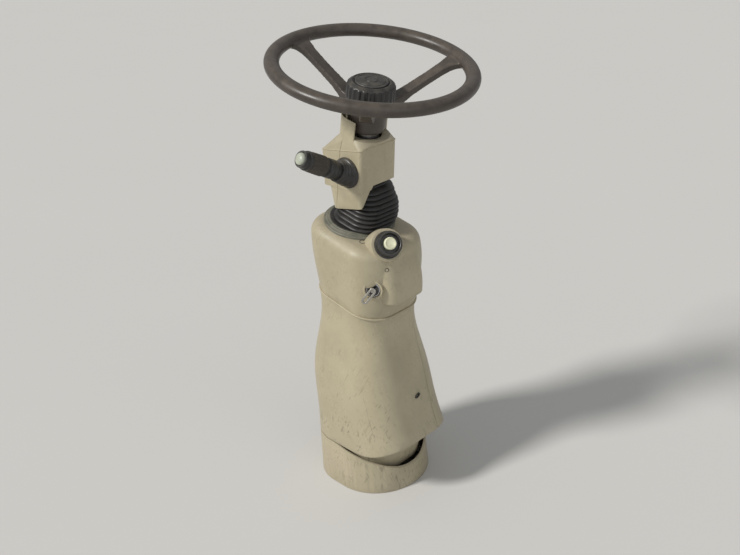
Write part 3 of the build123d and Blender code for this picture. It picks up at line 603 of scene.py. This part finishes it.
def cover_finish(settings):
    """Moulded taupe plastic: mottled, scuffed towards the foot, dusty on top, paler on rubbed edges."""
    material, tree, shader = blank("Moulded cover plastic")
    place = here(tree)
    height = add(tree, "ShaderNodeSeparateXYZ", {0: place}).outputs[2]
    low = remap(tree, height, 0.34, 0.04)
    mottle = noise(tree, place, 9.0, 6.0, 0.6)
    colour = tint(
        tree, remap(tree, mottle, 0.3, 0.7), shade(settings.colour, 0.90), shade(settings.colour, 1.07)
    )
    handled = remap(tree, noise(tree, place, 28.0, 8.0, 0.7), 0.5, 0.72)
    colour = tint(tree, times(tree, handled, 0.35), colour, shade(settings.colour, 0.72))
    streaks = []
    for turn, across, along, more, strength, darker in STREAKS:
        mask = placed_effect(
            tree, "scuffs", turn=turn, stretch=(across, across, along), cover=settings.scuffs + more
        )
        streaks.append(times(tree, mask, remap(tree, low, *strength)))
        colour = tint(tree, streaks[-1], colour, shade(settings.colour, darker))
    creased = crease_mask(tree, place)
    colour = tint(tree, times(tree, creased, 0.6), colour, shade(settings.colour, 0.4))
    worn = placed_effect(tree, "wear", start=0.515, scale=150.0)
    colour = tint(tree, times(tree, worn, 0.35), colour, shade(settings.colour, 1.4))
    dust = placed_effect(tree, "dust", amount=settings.dust, scale=34.0)
    trodden = times(tree, low, remap(tree, mottle, 0.35, 0.7, 0.1, 0.55))
    soiled = sums(tree, "MAXIMUM", dust, trodden)
    colour = tint(tree, soiled, colour, DUST)
    tree.links.new(colour, shader.inputs["Base Color"])
    base = remap(tree, handled, 0.0, 1.0, 0.44, 0.34)
    tree.links.new(sums(tree, "ADD", base, times(tree, soiled, 0.35)), shader.inputs["Roughness"])
    grain = placed_effect(tree, "grain", scale=1100.0)
    marks = sums(tree, "ADD", times(tree, streaks[0], 1.6), times(tree, creased, 3.0))
    relief(tree, shader, sums(tree, "SUBTRACT", times(tree, grain, 0.35), marks), 0.10)
    return material


def plastic_finish(name, colour, dusty, rough, worn_colour, grain_scale, grain_depth):
    """Plastic or rubber: grained, with dust where it faces up and paler rubbed edges."""
    material, tree, shader = blank(name)
    place = here(tree)
    mottle = remap(tree, noise(tree, place, 45.0, 6.0, 0.6), 0.3, 0.7)
    tone = tint(tree, mottle, shade(colour, 0.82), shade(colour, 1.18))
    worn = placed_effect(tree, "wear", start=0.52, scale=200.0)
    tone = tint(tree, times(tree, worn, 0.6), tone, (*worn_colour, 1.0))
    dust = placed_effect(tree, "dust", amount=dusty, scale=60.0)
    tone = tint(tree, dust, tone, DUST)
    tree.links.new(tone, shader.inputs["Base Color"])
    base = remap(tree, mottle, 0.0, 1.0, rough - 0.06, rough + 0.06)
    tree.links.new(sums(tree, "ADD", base, times(tree, dust, 0.35)), shader.inputs["Roughness"])
    relief(tree, shader, placed_effect(tree, "grain", scale=grain_scale), grain_depth, 0.8)
    return material


def metal_finish(name, colour, rough, brushed):
    """Bare metal with fine turned or drawn lines and dull patches."""
    material, tree, shader = blank(name)
    place = here(tree)
    lines = add(tree, "ShaderNodeVectorMath", {0: place, 1: brushed}, operation="MULTIPLY").outputs[0]
    streak = noise(tree, lines, 1.0, 5.0, 0.6)
    dull = remap(tree, noise(tree, place, 60.0, 5.0, 0.6), 0.35, 0.7)
    tone = tint(tree, streak, shade(colour, 0.8), shade(colour, 1.15))
    tone = tint(tree, times(tree, dull, 0.4), tone, shade(colour, 0.55))
    tree.links.new(tone, shader.inputs["Base Color"])
    shader.inputs["Metallic"].default_value = 1.0
    base = remap(tree, streak, 0.3, 0.7, rough - 0.08, rough + 0.08)
    tree.links.new(sums(tree, "ADD", base, times(tree, dull, 0.15)), shader.inputs["Roughness"])
    relief(tree, shader, streak, 0.03, 0.6)
    return material


# Name, colour or the setting that holds it, dust, roughness, colour of rubbed edges, grain's scale and depth
PLASTICS = {
    "rubber": ("Black gaiter rubber", "rubber", 0.06, 0.42, (0.07, 0.068, 0.065), 1500.0, 0.05),
    "grip": ("Brown wheel grip", "grip", 0.10, 0.40, (0.13, 0.105, 0.09), 1700.0, 0.05),
    "black": ("Black switch plastic", "black", 0.16, 0.36, (0.10, 0.10, 0.10), 1300.0, 0.06),
    "collar": ("Brown switch collar", (0.035, 0.026, 0.021), 0.30, 0.5, (0.12, 0.10, 0.085), 1300.0, 0.06),
    "ring": ("Dusty grey ring", "ring", 0.3, 0.5, (0.24, 0.23, 0.20), 700.0, 0.1),
    "disc": ("Cream lighter disc", (0.80, 0.79, 0.56), 0.06, 0.35, (0.9, 0.88, 0.7), 1500.0, 0.03),
    "cap": ("Pale grey button", (0.44, 0.47, 0.38), 0.12, 0.4, (0.6, 0.6, 0.52), 1500.0, 0.03),
    "steel": ("Black painted steel", (0.022, 0.022, 0.023), 0.3, 0.38, (0.3, 0.29, 0.28), 500.0, 0.12),
    "unit": ("Cast iron", (0.075, 0.075, 0.078), 0.35, 0.6, (0.3, 0.3, 0.3), 420.0, 0.3),
}
# Name, colour, roughness, and how fine the lines are along each axis
METALS = {
    "bare": ("Turned steel", (0.52, 0.52, 0.53), 0.32, (90.0, 90.0, 1400.0)),
    "key": ("Nickelled key", (0.50, 0.48, 0.44), 0.34, (900.0, 900.0, 60.0)),
}


def finish_named(name):
    """The finish of that name, made when it is first asked for."""
    if name not in finishes:
        if name == "cover":
            finishes[name] = cover_finish(bpy.context.scene.column_covers)
        elif name in METALS:
            finishes[name] = metal_finish(*METALS[name])
        else:
            title, colour, *rest = PLASTICS[name]
            if isinstance(colour, str):
                colour = tuple(getattr(bpy.context.scene.column_controls, colour))
            finishes[name] = plastic_finish(title, colour, *rest)
    return finishes[name]


def repaint(finish, *names):
    """Gives CAD nodes that keep their shape a finish."""
    for name in names:
        if not nodes[name].material_slots:
            nodes[name].data.materials.append(finish)
        for entry in nodes[name].material_slots:
            entry.material = finish


# Settings


class CoverSettings(PropertyGroup):
    """Looks of the moulded covers"""

    colour: FloatVectorProperty(
        name="Colour",
        description="Colour of the plastic",
        subtype="COLOR",
        size=3,
        default=(0.415, 0.366, 0.248),
    )
    rounding: FloatProperty(
        name="Edge rounding", description="Radius of the covers' edges", unit="LENGTH", default=0.0016
    )
    dust: FloatProperty(name="Dust", description="How much dust lies on top", subtype="FACTOR", default=0.5)
    scuffs: FloatProperty(
        name="Scuffs", description="How much of the surface carries marks", subtype="FACTOR", default=0.57
    )


class WheelSettings(PropertyGroup):
    """Sizes of the steering wheel and its knob"""

    grip_width: FloatProperty(
        name="Grip width", description="Width of the rim's grip", unit="LENGTH", default=0.0275
    )
    grip_depth: FloatProperty(
        name="Grip depth", description="Depth of the rim's grip", unit="LENGTH", default=0.024
    )
    first_spoke: FloatProperty(
        name="First spoke", description="Direction of the first spoke", subtype="ANGLE", default=radians(10)
    )
    spokes: IntProperty(name="Spokes", description="Number of spokes", default=3)
    ribs: IntProperty(name="Knob ribs", description="Ribs round the knob", default=24)
    rib_depth: FloatProperty(
        name="Rib depth", description="Depth between the knob's ribs", unit="LENGTH", default=0.0024
    )


class BellowsSettings(PropertyGroup):
    """Folds of the bellows"""

    folds: IntProperty(name="Folds", description="Number of folds", default=10)
    depth: FloatProperty(name="Fold depth", description="Depth of a fold", unit="LENGTH", default=0.0055)


class ControlSettings(PropertyGroup):
    """Colours of the darker parts"""

    black: FloatVectorProperty(
        name="Black", description="Switches and knob", subtype="COLOR", size=3, default=(0.018, 0.018, 0.019)
    )
    rubber: FloatVectorProperty(
        name="Rubber", description="Bellows", subtype="COLOR", size=3, default=(0.011, 0.011, 0.012)
    )
    grip: FloatVectorProperty(
        name="Grip", description="Rim, spokes and hub", subtype="COLOR", size=3, default=(0.058, 0.046, 0.038)
    )
    ring: FloatVectorProperty(
        name="Ring", description="Clamp ring", subtype="COLOR", size=3, default=(0.118, 0.122, 0.094)
    )


class StageSettings(PropertyGroup):
    """Floor and light"""

    floor: FloatVectorProperty(
        name="Floor", description="Colour of the floor", subtype="COLOR", size=3, default=(0.62, 0.61, 0.585)
    )
    sun: FloatProperty(name="Key light", description="Strength of the key light", default=2.7)
    sky: FloatProperty(name="Sky", description="Strength of the light from all round", default=0.36)
    lens: FloatProperty(name="Lens", description="Focal length of the camera", default=46.5)


# Pieces


SEARCH_STEPS = 18


def reach_to(angle, front, rear, left, right, front_corner, rear_corner):
    """Distance from the axis to a rectangle with round corners, in one direction."""
    centre = Vector(((front - rear) / 2, (left - right) / 2))
    half = Vector(((front + rear) / 2, (left + right) / 2))
    near, far = 0.0, 2 * max(half)
    for _ in range(SEARCH_STEPS):
        middle = (near + far) / 2
        point = Vector((cos(angle), sin(angle))) * middle - centre
        corner = front_corner if point.x > 0 else rear_corner
        out = Vector((abs(point.x), abs(point.y))) - half + Vector((corner, corner))
        gap = hypot(max(out.x, 0), max(out.y, 0)) + min(max(out.x, out.y), 0) - corner
        near, far = (middle, far) if gap < 0 else (near, middle)
    return near


def outline_loop(sizes, out, height, count):
    """Loop of points round a rectangle with round corners, moved out."""
    loop = []
    for step in range(count):
        angle = tau * step / count
        distance = reach_to(angle, *[size + out for size in sizes])
        loop.append(Vector((distance * cos(angle), distance * sin(angle), height)) * MM)
    return loop


def bellows_loop(share, inset, count):
    """One loop of the bellows at a share of its height."""
    for low, high in zip(BELLOWS, BELLOWS[1:]):
        if share <= high[0]:
            break
    blend = (share - low[0]) / (high[0] - low[0])
    sizes = [a * (1 - blend) + b * blend for a, b in zip(low[1:], high[1:])]
    foot = RING_FACE + 0.3
    return outline_loop(sizes, -inset, foot + share * (BELLOWS_TOP - foot), count)


class COLUMN_OT_make_bellows(Operator):
    """Folded rubber gaiter between the cowl and the head"""

    bl_idname = "column.make_bellows"
    bl_label = "Make Bellows"

    def execute(self, context):
        settings = context.scene.column_bellows
        count = LOOP_POINTS
        depth = settings.depth / MM
        loops = [
            circle(RING_BORE - 0.5, RING_FOOT + 1, count),
            circle(RING_BORE - 0.5, RING_FACE, count),
            circle(RING_BORE + 2, RING_FACE + 0.2, count),
            circle(RING_BORE + 2, RING_FACE + 1.8, count),
        ]
        total = settings.folds * FOLD_STEPS
        for step in range(1, total):
            crest = sin(pi * (step % FOLD_STEPS) / FOLD_STEPS) ** 0.75
            loops.append(bellows_loop(step / total, depth * (1 - crest), count))
        loops += [
            circle(TUBE_RADIUS + 3.2, BELLOWS_TOP, count),
            circle(TUBE_RADIUS + 2.6, BELLOWS_TOP + CUFF, count),
            circle(TUBE_RADIUS, BELLOWS_TOP + CUFF, count),
            circle(TUBE_RADIUS, BELLOWS_TOP - CUFF, count),
        ]
        loops += [bellows_loop(share, depth + BELLOWS_WALL, count) for share in LINING_SHARES]
        loops.append(circle(RING_BORE - 3, RING_FOOT + 1, count))
        bm = rings(loops, joined=True)
        made = piece("gaiter", bm, finish_named("rubber"), None, ("bellows",), HEAD, 60)
        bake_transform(made)
        ring = turned(RING_PROFILE, 120, closed=True)
        grey = finish_named("ring")
        piece("gaiter_ring", ring, grey, "pedestal", ("clamp_ring",), HEAD, 30)
        return {"FINISHED"}


def swept(bm, sections):
    """Bar through sections of four corners each, pulled face by face."""
    face = bm.faces.new([bm.verts.new(point * MM) for point in sections[0]])
    for section in sections[1:]:
        made = bmesh.ops.extrude_face_region(bm, geom=[face])["geom"]
        face = next(item for item in made if isinstance(item, bmesh.types.BMFace))
        for vert, point in zip(face.verts, section):
            vert.co = point * MM


class COLUMN_OT_make_wheel(Operator):
    """Steering wheel: rim, spokes and bell-shaped hub in one moulding"""

    bl_idname = "column.make_wheel"
    bl_label = "Make Steering Wheel"

    def execute(self, context):
        settings = context.scene.column_wheel
        rim = bmesh.new()
        bmesh.ops.create_circle(rim, cap_ends=False, segments=RIM_SIDES, radius=1)
        across = Matrix.Diagonal((settings.grip_width / 2, settings.grip_depth / 2, 1, 1))
        stood = Matrix.Translation((RIM_RADIUS * MM, 0, RIM_HEIGHT * MM)) @ Matrix.Rotation(pi / 2, 4, "X")
        bmesh.ops.transform(rim, matrix=stood @ across, verts=rim.verts)
        spun(rim, RIM_STEPS)
        bars = bmesh.new()
        for spoke in range(settings.spokes):
            angle = settings.first_spoke + tau * spoke / settings.spokes
            outward = Vector((cos(angle), sin(angle), 0))
            across_spoke = Vector((-sin(angle), cos(angle), 0))
            swept(
                bars,
                [
                    [
                        outward * distance + across_spoke * half + UP * top,
                        outward * distance + across_spoke * half * SPOKE_UNDERSIDE + UP * under,
                        outward * distance - across_spoke * half * SPOKE_UNDERSIDE + UP * under,
                        outward * distance - across_spoke * half + UP * top,
                    ]
                    for distance, top, under, half in SPOKE
                ],
            )
        tidy(bars)
        skin = remeshed(merged(rim, bars, turned(HUB_PROFILE)), SKIN_VOXEL, SKIN_PASSES)
        replaced = ("wheel_rim", "wheel_hub")
        piece("steering_wheel", skin, finish_named("grip"), "wheel", replaced, HEAD, 180)
        return {"FINISHED"}


class COLUMN_OT_make_knob(Operator):
    """Ribbed lock knob on the wheel's hub, with its ringed top"""

    bl_idname = "column.make_knob"
    bl_label = "Make Lock Knob"

    def execute(self, context):
        settings = context.scene.column_wheel
        depth = settings.rib_depth / MM
        count = settings.ribs * RIB_POINTS
        loops = [
            circle(radius, HUB_TOP + height, count, settings.ribs, depth * share)
            for height, radius, share in KNOB_ROWS
        ]
        piece("knob", rings(loops), finish_named("black"), "wheel", ("lock_knob",), HEAD, 50)
        top = turned([(radius, KNOB_TOP + height) for radius, height in KNOB_TOP_PROFILE], 120)
        piece("knob_top", top, finish_named("black"), "wheel", ("knob_cap",), HEAD, 25)
        return {"FINISHED"}


def between(first, second, radii, count):
    """Loops that swing from one placement to another, with a radius for each."""
    last = len(radii) - 1
    return [
        [(first @ point).lerp(second @ point, step / last) for point in circle(radius, 0, count)]
        for step, radius in enumerate(radii)
    ]


class COLUMN_OT_make_stalk(Operator):
    """Column stalk: round foot, boot, ribbed collars and end button"""

    bl_idname = "column.make_stalk"
    bl_label = "Make Column Stalk"

    def execute(self, context):
        back = Vector((-1, 0, 0))
        seat = placement(STALK_POINT * MM, back, LEFT)
        root = (STALK_POINT + LEFT * STALK_FOOT) * MM
        rise = radians(STALK_RISE)
        line = placement(root, back, LEFT * cos(rise) + UP * sin(rise))
        foot = turned(STALK_FOOT_PROFILE)
        bmesh.ops.transform(foot, matrix=seat, verts=foot.verts)
        start = seat @ Matrix.Translation((0, 0, (STALK_FOOT - 0.5) * MM))
        end = line @ Matrix.Translation((0, 0, STALK_ROOT * MM))
        base = merged(foot, rings(between(start, end, BOOT_RADII, 72)))
        black = finish_named("black")
        piece("stalk_foot", base, black, "head", ("stalk_boss",), None, 40)
        collar = rings(
            [
                circle(radius, height, COLLAR_RIBS * RIB_POINTS, COLLAR_RIBS, COLLAR_RIB_DEPTH * share)
                for height, radius, share in COLLAR_ROWS
            ]
        )
        piece("stalk_collar", collar, finish_named("collar"), "head", (), line, 45)
        lever = merged(turned(LEVER_PROFILE, 72), turned(TIP_PROFILE, 72))
        piece("stalk_grip", lever, black, "head", ("stalk_lever",), line, 40)
        button = turned(BUTTON_PROFILE, 64)
        piece("stalk_button", button, finish_named("cap"), "head", ("stalk_cap",), line, 60)
        return {"FINISHED"}


def link_ring(outer, inner, length, thickness, count=64):
    """Flat long loop with a hole, such as a key's bow, lying along local x."""
    bm = bmesh.new()
    for width in (outer, inner):
        made = bmesh.ops.create_circle(bm, cap_ends=False, segments=count, radius=width / 2 * MM)["verts"]
        for vert in made:
            if vert.co.x > 1e-6:
                vert.co.x += length * MM
    bmesh.ops.bridge_loops(bm, edges=bm.edges[:])
    made = bmesh.ops.extrude_face_region(bm, geom=bm.faces[:])["geom"]
    lifted = [item for item in made if isinstance(item, bmesh.types.BMVert)]
    bmesh.ops.translate(bm, verts=lifted, vec=(0, 0, thickness * MM))
    tidy(bm)
    soften(bm, 0.9, 3, 50)
    return bm


class COLUMN_OT_make_switches(Operator):
    """Power socket with its lighter, and the key switch with its key"""

    bl_idname = "column.make_switches"
    bl_label = "Make Switches"

    def execute(self, context):
        socket_face = facing(*SOCKET)
        barrel = turned(SOCKET_PROFILE, 96, closed=True)
        black = finish_named("black")
        piece("socket_barrel", barrel, black, "pedestal", ("power_socket",), socket_face, 32)
        disc = turned(LIGHTER_PROFILE, 72)
        cream = finish_named("disc")
        piece("lighter_disc", disc, cream, "pedestal", ("lighter",), socket_face, 50)
        key_face = facing(*KEY)
        cup = turned(CUP_PROFILE, 80, closed=True)
        piece("key_cup_ring", cup, finish_named("cover"), "pedestal", (), key_face, 40)
        bezel = turned(BEZEL_PROFILE, 72, closed=True)
        piece("key_bezel", bezel, finish_named("bare"), "pedestal", (), key_face, 40)
        turn = Matrix.Rotation(radians(KEY_TURN), 4, "Z")
        bow = link_ring(*KEY_BOW)
        bmesh.ops.translate(bow, verts=bow.verts, vec=(0, 0, KEY_BOW_HEIGHT * MM))
        key = merged(bow, turned(SHANK_PROFILE, 40))
        piece("key_bow", key, finish_named("key"), "pedestal", ("key",), key_face @ turn, 40)
        repaint(black, "key_switch")
        return {"FINISHED"}


class COLUMN_OT_finish_covers(Operator):
    """Rounded edges and worn plastic for the foot collar, the pedestal's covers, the cowl and the head"""

    bl_idname = "column.finish_covers"
    bl_label = "Finish Covers"

    def execute(self, context):
        width = context.scene.column_covers.rounding / MM
        plastic = finish_named("cover")
        for name, node, share in (
            ("foot_skirt", "foot_collar", 1.0),
            ("pedestal_left", "pedestal_left_cover", 1.0),
            ("pedestal_right", "pedestal_right_cover", 1.0),
            ("cowl_shell", "cowl", 1.3),
            ("head_front", "head_front_shell", 0.8),
            ("head_rear", "head_rear_shell", 0.8),
        ):
            rounded_copy(name, node, plastic, width * share)
        return {"FINISHED"}


def open_edge(start, reach, half, corner, side=1):
    """Points and outward directions along a rectangle's edge, open where it starts; side -1 is the rear."""
    path = [((start, half), (0, 1))]
    for turn, across in ((range(90, -1, -10), 1), (range(0, -91, -10), -1)):
        for angle in turn:
            way = (side * cos(radians(angle)), sin(radians(angle)))
            centre = (side * (reach - corner), across * (half - corner))
            path.append(((centre[0] + way[0] * corner, centre[1] + way[1] * corner), way))
    path.append(((start, -half), (0, -1)))
    return path


def shroud_wall():
    """Wall that stands round the front of the neck, open to the rear."""
    path = open_edge(*SHROUD_OUTLINE)
    loops = []
    for height, out, wall in SHROUD_ROWS:
        rows = [
            [Vector((point[0] + way[0] * move, point[1] + way[1] * move, height)) * MM for point, way in path]
            for move in (out, -wall)
        ]
        loops.append(rows[0] + rows[1][::-1])
    return rings(loops)


def well_profile(radius):
    """Radius and height of a recessed screw."""
    return (
        (0, -3.0), (radius + 0.5, -3.0), (radius + 0.5, 0.3), (radius, 0.6), (radius - 0.5, 0.4),
        (radius - 0.9, -0.7), (radius - 1.1, -1.6), (radius * 0.36, -1.6), (radius * 0.3, -2.2), (0, -2.2),
    )


class COLUMN_OT_make_trim(Operator):
    """Lip on the covers' rim, bead round the head's roof, shroud of the neck and recessed screws"""

    bl_idname = "column.make_trim"
    bl_label = "Make Trim"

    def execute(self, context):
        plastic = finish_named("cover")
        lip = rings([outline_loop(RIM_OUTLINE, out, rise, 160) for out, rise in LIP_PROFILE], joined=True)
        piece("cover_lip", lip, plastic, "pedestal", (), COVER_RIM, 50)
        front, rear, *rest = ROOF_OUTLINE
        for name, side, reach in (("roof_bead_front", 1, front), ("roof_bead_rear", -1, rear)):
            start = ROOF_SEAM + side * ROOF_SEAM_GAP / 2
            loops = []
            for point, way in open_edge(start, reach, *rest, side):
                middle = Vector((point[0] - way[0] * 0.5, point[1] - way[1] * 0.5, -0.6))
                out = Vector((*way, 0))
                angles = [tau * step / BEAD_POINTS for step in range(BEAD_POINTS)]
                loops.append(
                    [(middle + (out * cos(angle) + UP * sin(angle)) * BEAD_RADIUS) * MM for angle in angles]
                )
            piece(name, rings(loops), plastic, "head", (), ROOF, 60)
        piece("neck_shroud", shroud_wall(), plastic, "head", (), HEAD, 40)
        for name, point, way, radius, stretch in SCREWS:
            out = Vector(way).normalized()
            stood = placement(Vector(point) * MM, UP.cross(out) + UP * 0.45, out)
            well = turned(well_profile(radius), 40)
            bmesh.ops.scale(well, vec=(stretch, 1, 1), verts=well.verts)
            # Black well: the screw's own black, and painted shade in its recess
            piece(name, well, finish_named("black"), "pedestal", (), stood, 35)
        return {"FINISHED"}


class COLUMN_OT_finish_inner(Operator):
    """Finishes for the post, the steering unit, the pins and the tubes inside"""

    bl_idname = "column.finish_inner"
    bl_label = "Finish Inner Parts"

    def execute(self, context):
        repaint(finish_named("steel"), "mount_plate", "support_post", "jacket_tube")
        repaint(finish_named("bare"), "tilt_pins", "head_pin", "telescope_sleeve")
        repaint(finish_named("unit"), "steering_unit")
        return {"FINISHED"}


# Stage

CAMERA_PLACE = (-1.297, 1.137, 1.262)
CAMERA_TURN = (71.23, 0, -144.94)
CAMERA_AIM = (-0.035, 0, 0.455)


def camera_turn():
    """Rotation that swings the photograph's camera, with its tilt, onto the column."""
    held = Euler([radians(angle) for angle in CAMERA_TURN]).to_quaternion()
    ahead = held @ Vector((0, 0, -1))
    wanted = (Vector(CAMERA_AIM) - Vector(CAMERA_PLACE)).normalized()
    return ahead.rotation_difference(wanted) @ held


class COLUMN_OT_make_stage(Operator):
    """Pale floor, soft light and the camera at the photograph's viewing angle"""

    bl_idname = "column.make_stage"
    bl_label = "Make Stage"

    def execute(self, context):
        settings = context.scene.column_stage
        scene = context.scene
        scene.view_settings.view_transform = "Standard"
        bm = bmesh.new()
        bmesh.ops.create_grid(bm, x_segments=1, y_segments=1, size=30)
        bmesh.ops.translate(bm, verts=bm.verts, vec=(0, 0, -0.0006))
        mesh = bpy.data.meshes.new("floor")
        bm.to_mesh(mesh)
        bm.free()
        floor = bpy.data.objects.new("floor", mesh)
        scene.collection.objects.link(floor)
        material, tree, shader = blank("Pale floor")
        mottle = noise(tree, here(tree), 1.5, 4.0)
        tone = tint(tree, mottle, shade(settings.floor, 0.99), shade(settings.floor, 1.01))
        tree.links.new(tone, shader.inputs["Base Color"])
        shader.inputs["Roughness"].default_value = 0.9
        shader.inputs["Specular IOR Level"].default_value = 0.1
        mesh.materials.append(material)

        world = bpy.data.worlds.new("Studio")
        scene.world = world
        world.use_nodes = True
        tree = world.node_tree
        out = next(node for node in tree.nodes if node.type == "OUTPUT_WORLD")
        path = add(tree, "ShaderNodeLightPath")
        seen = sums(tree, "MAXIMUM", path.outputs["Is Camera Ray"], path.outputs["Is Transmission Ray"])
        lit = add(tree, "ShaderNodeBackground", {"Color": (0.96, 0.98, 1.0, 1.0), "Strength": settings.sky})
        shown = add(tree, "ShaderNodeBackground", {"Color": (0.66, 0.655, 0.645, 1.0), "Strength": 1.0})
        mixed = add(tree, "ShaderNodeMixShader", {0: seen, 1: lit.outputs[0], 2: shown.outputs[0]})
        tree.links.new(mixed.outputs[0], out.inputs["Surface"])

        for name, strength, spread, towards, colour in (
            ("key_light", settings.sun, 10, (-0.35, -0.95, -0.85), (1.0, 0.985, 0.955)),
            ("fill_light", settings.sun * 0.16, 60, (0.9, -0.3, -0.5), (0.95, 0.97, 1.0)),
        ):
            lamp = bpy.data.lights.new(name, "SUN")
            lamp.energy = strength
            lamp.angle = radians(spread)
            lamp.color = colour
            placed = bpy.data.objects.new(name, lamp)
            placed.rotation_euler = Vector(towards).to_track_quat("-Z", "Y").to_euler()
            scene.collection.objects.link(placed)

        camera = bpy.data.cameras.new("camera")
        camera.lens = settings.lens
        holder = bpy.data.objects.new("camera", camera)
        holder.location = CAMERA_PLACE
        holder.rotation_mode = "QUATERNION"
        holder.rotation_quaternion = camera_turn()
        scene.collection.objects.link(holder)
        scene.camera = holder
        return {"FINISHED"}


OPERATORS = (
    COLUMN_OT_make_stage,
    COLUMN_OT_finish_inner,
    COLUMN_OT_finish_covers,
    COLUMN_OT_make_bellows,
    COLUMN_OT_make_wheel,
    COLUMN_OT_make_knob,
    COLUMN_OT_make_stalk,
    COLUMN_OT_make_switches,
    COLUMN_OT_make_trim,
)
SETTINGS = {
    "column_covers": CoverSettings,
    "column_wheel": WheelSettings,
    "column_bellows": BellowsSettings,
    "column_controls": ControlSettings,
    "column_stage": StageSettings,
}


class COLUMN_PT_panel(Panel):
    """Steps and settings of the steering column"""

    bl_label = "Steering Column"
    bl_space_type = "VIEW_3D"
    bl_region_type = "UI"
    bl_category = "Column"

    def draw(self, context):
        for name, group in SETTINGS.items():
            box = self.layout.box()
            for label in group.__annotations__:
                box.prop(getattr(context.scene, name), label)
        for operator in OPERATORS:
            self.layout.operator(operator.bl_idname)


CLASSES = (*SETTINGS.values(), *OPERATORS, COLUMN_PT_panel)


def register():
    for entry in CLASSES:
        bpy.utils.register_class(entry)
    for name, group in SETTINGS.items():
        setattr(bpy.types.Scene, name, PointerProperty(type=group))


def unregister():
    for name in SETTINGS:
        delattr(bpy.types.Scene, name)
    for entry in reversed(CLASSES):
        bpy.utils.unregister_class(entry)


def main():
    """Builds the pieces in order."""
    register()
    bpy.ops.column.make_stage()
    bpy.ops.column.finish_inner()
    bpy.ops.column.finish_covers()
    bpy.ops.column.make_bellows()
    bpy.ops.column.make_wheel()
    bpy.ops.column.make_knob()
    bpy.ops.column.make_stalk()
    bpy.ops.column.make_switches()
    bpy.ops.column.make_trim()


if __name__ == "__main__":
    main()
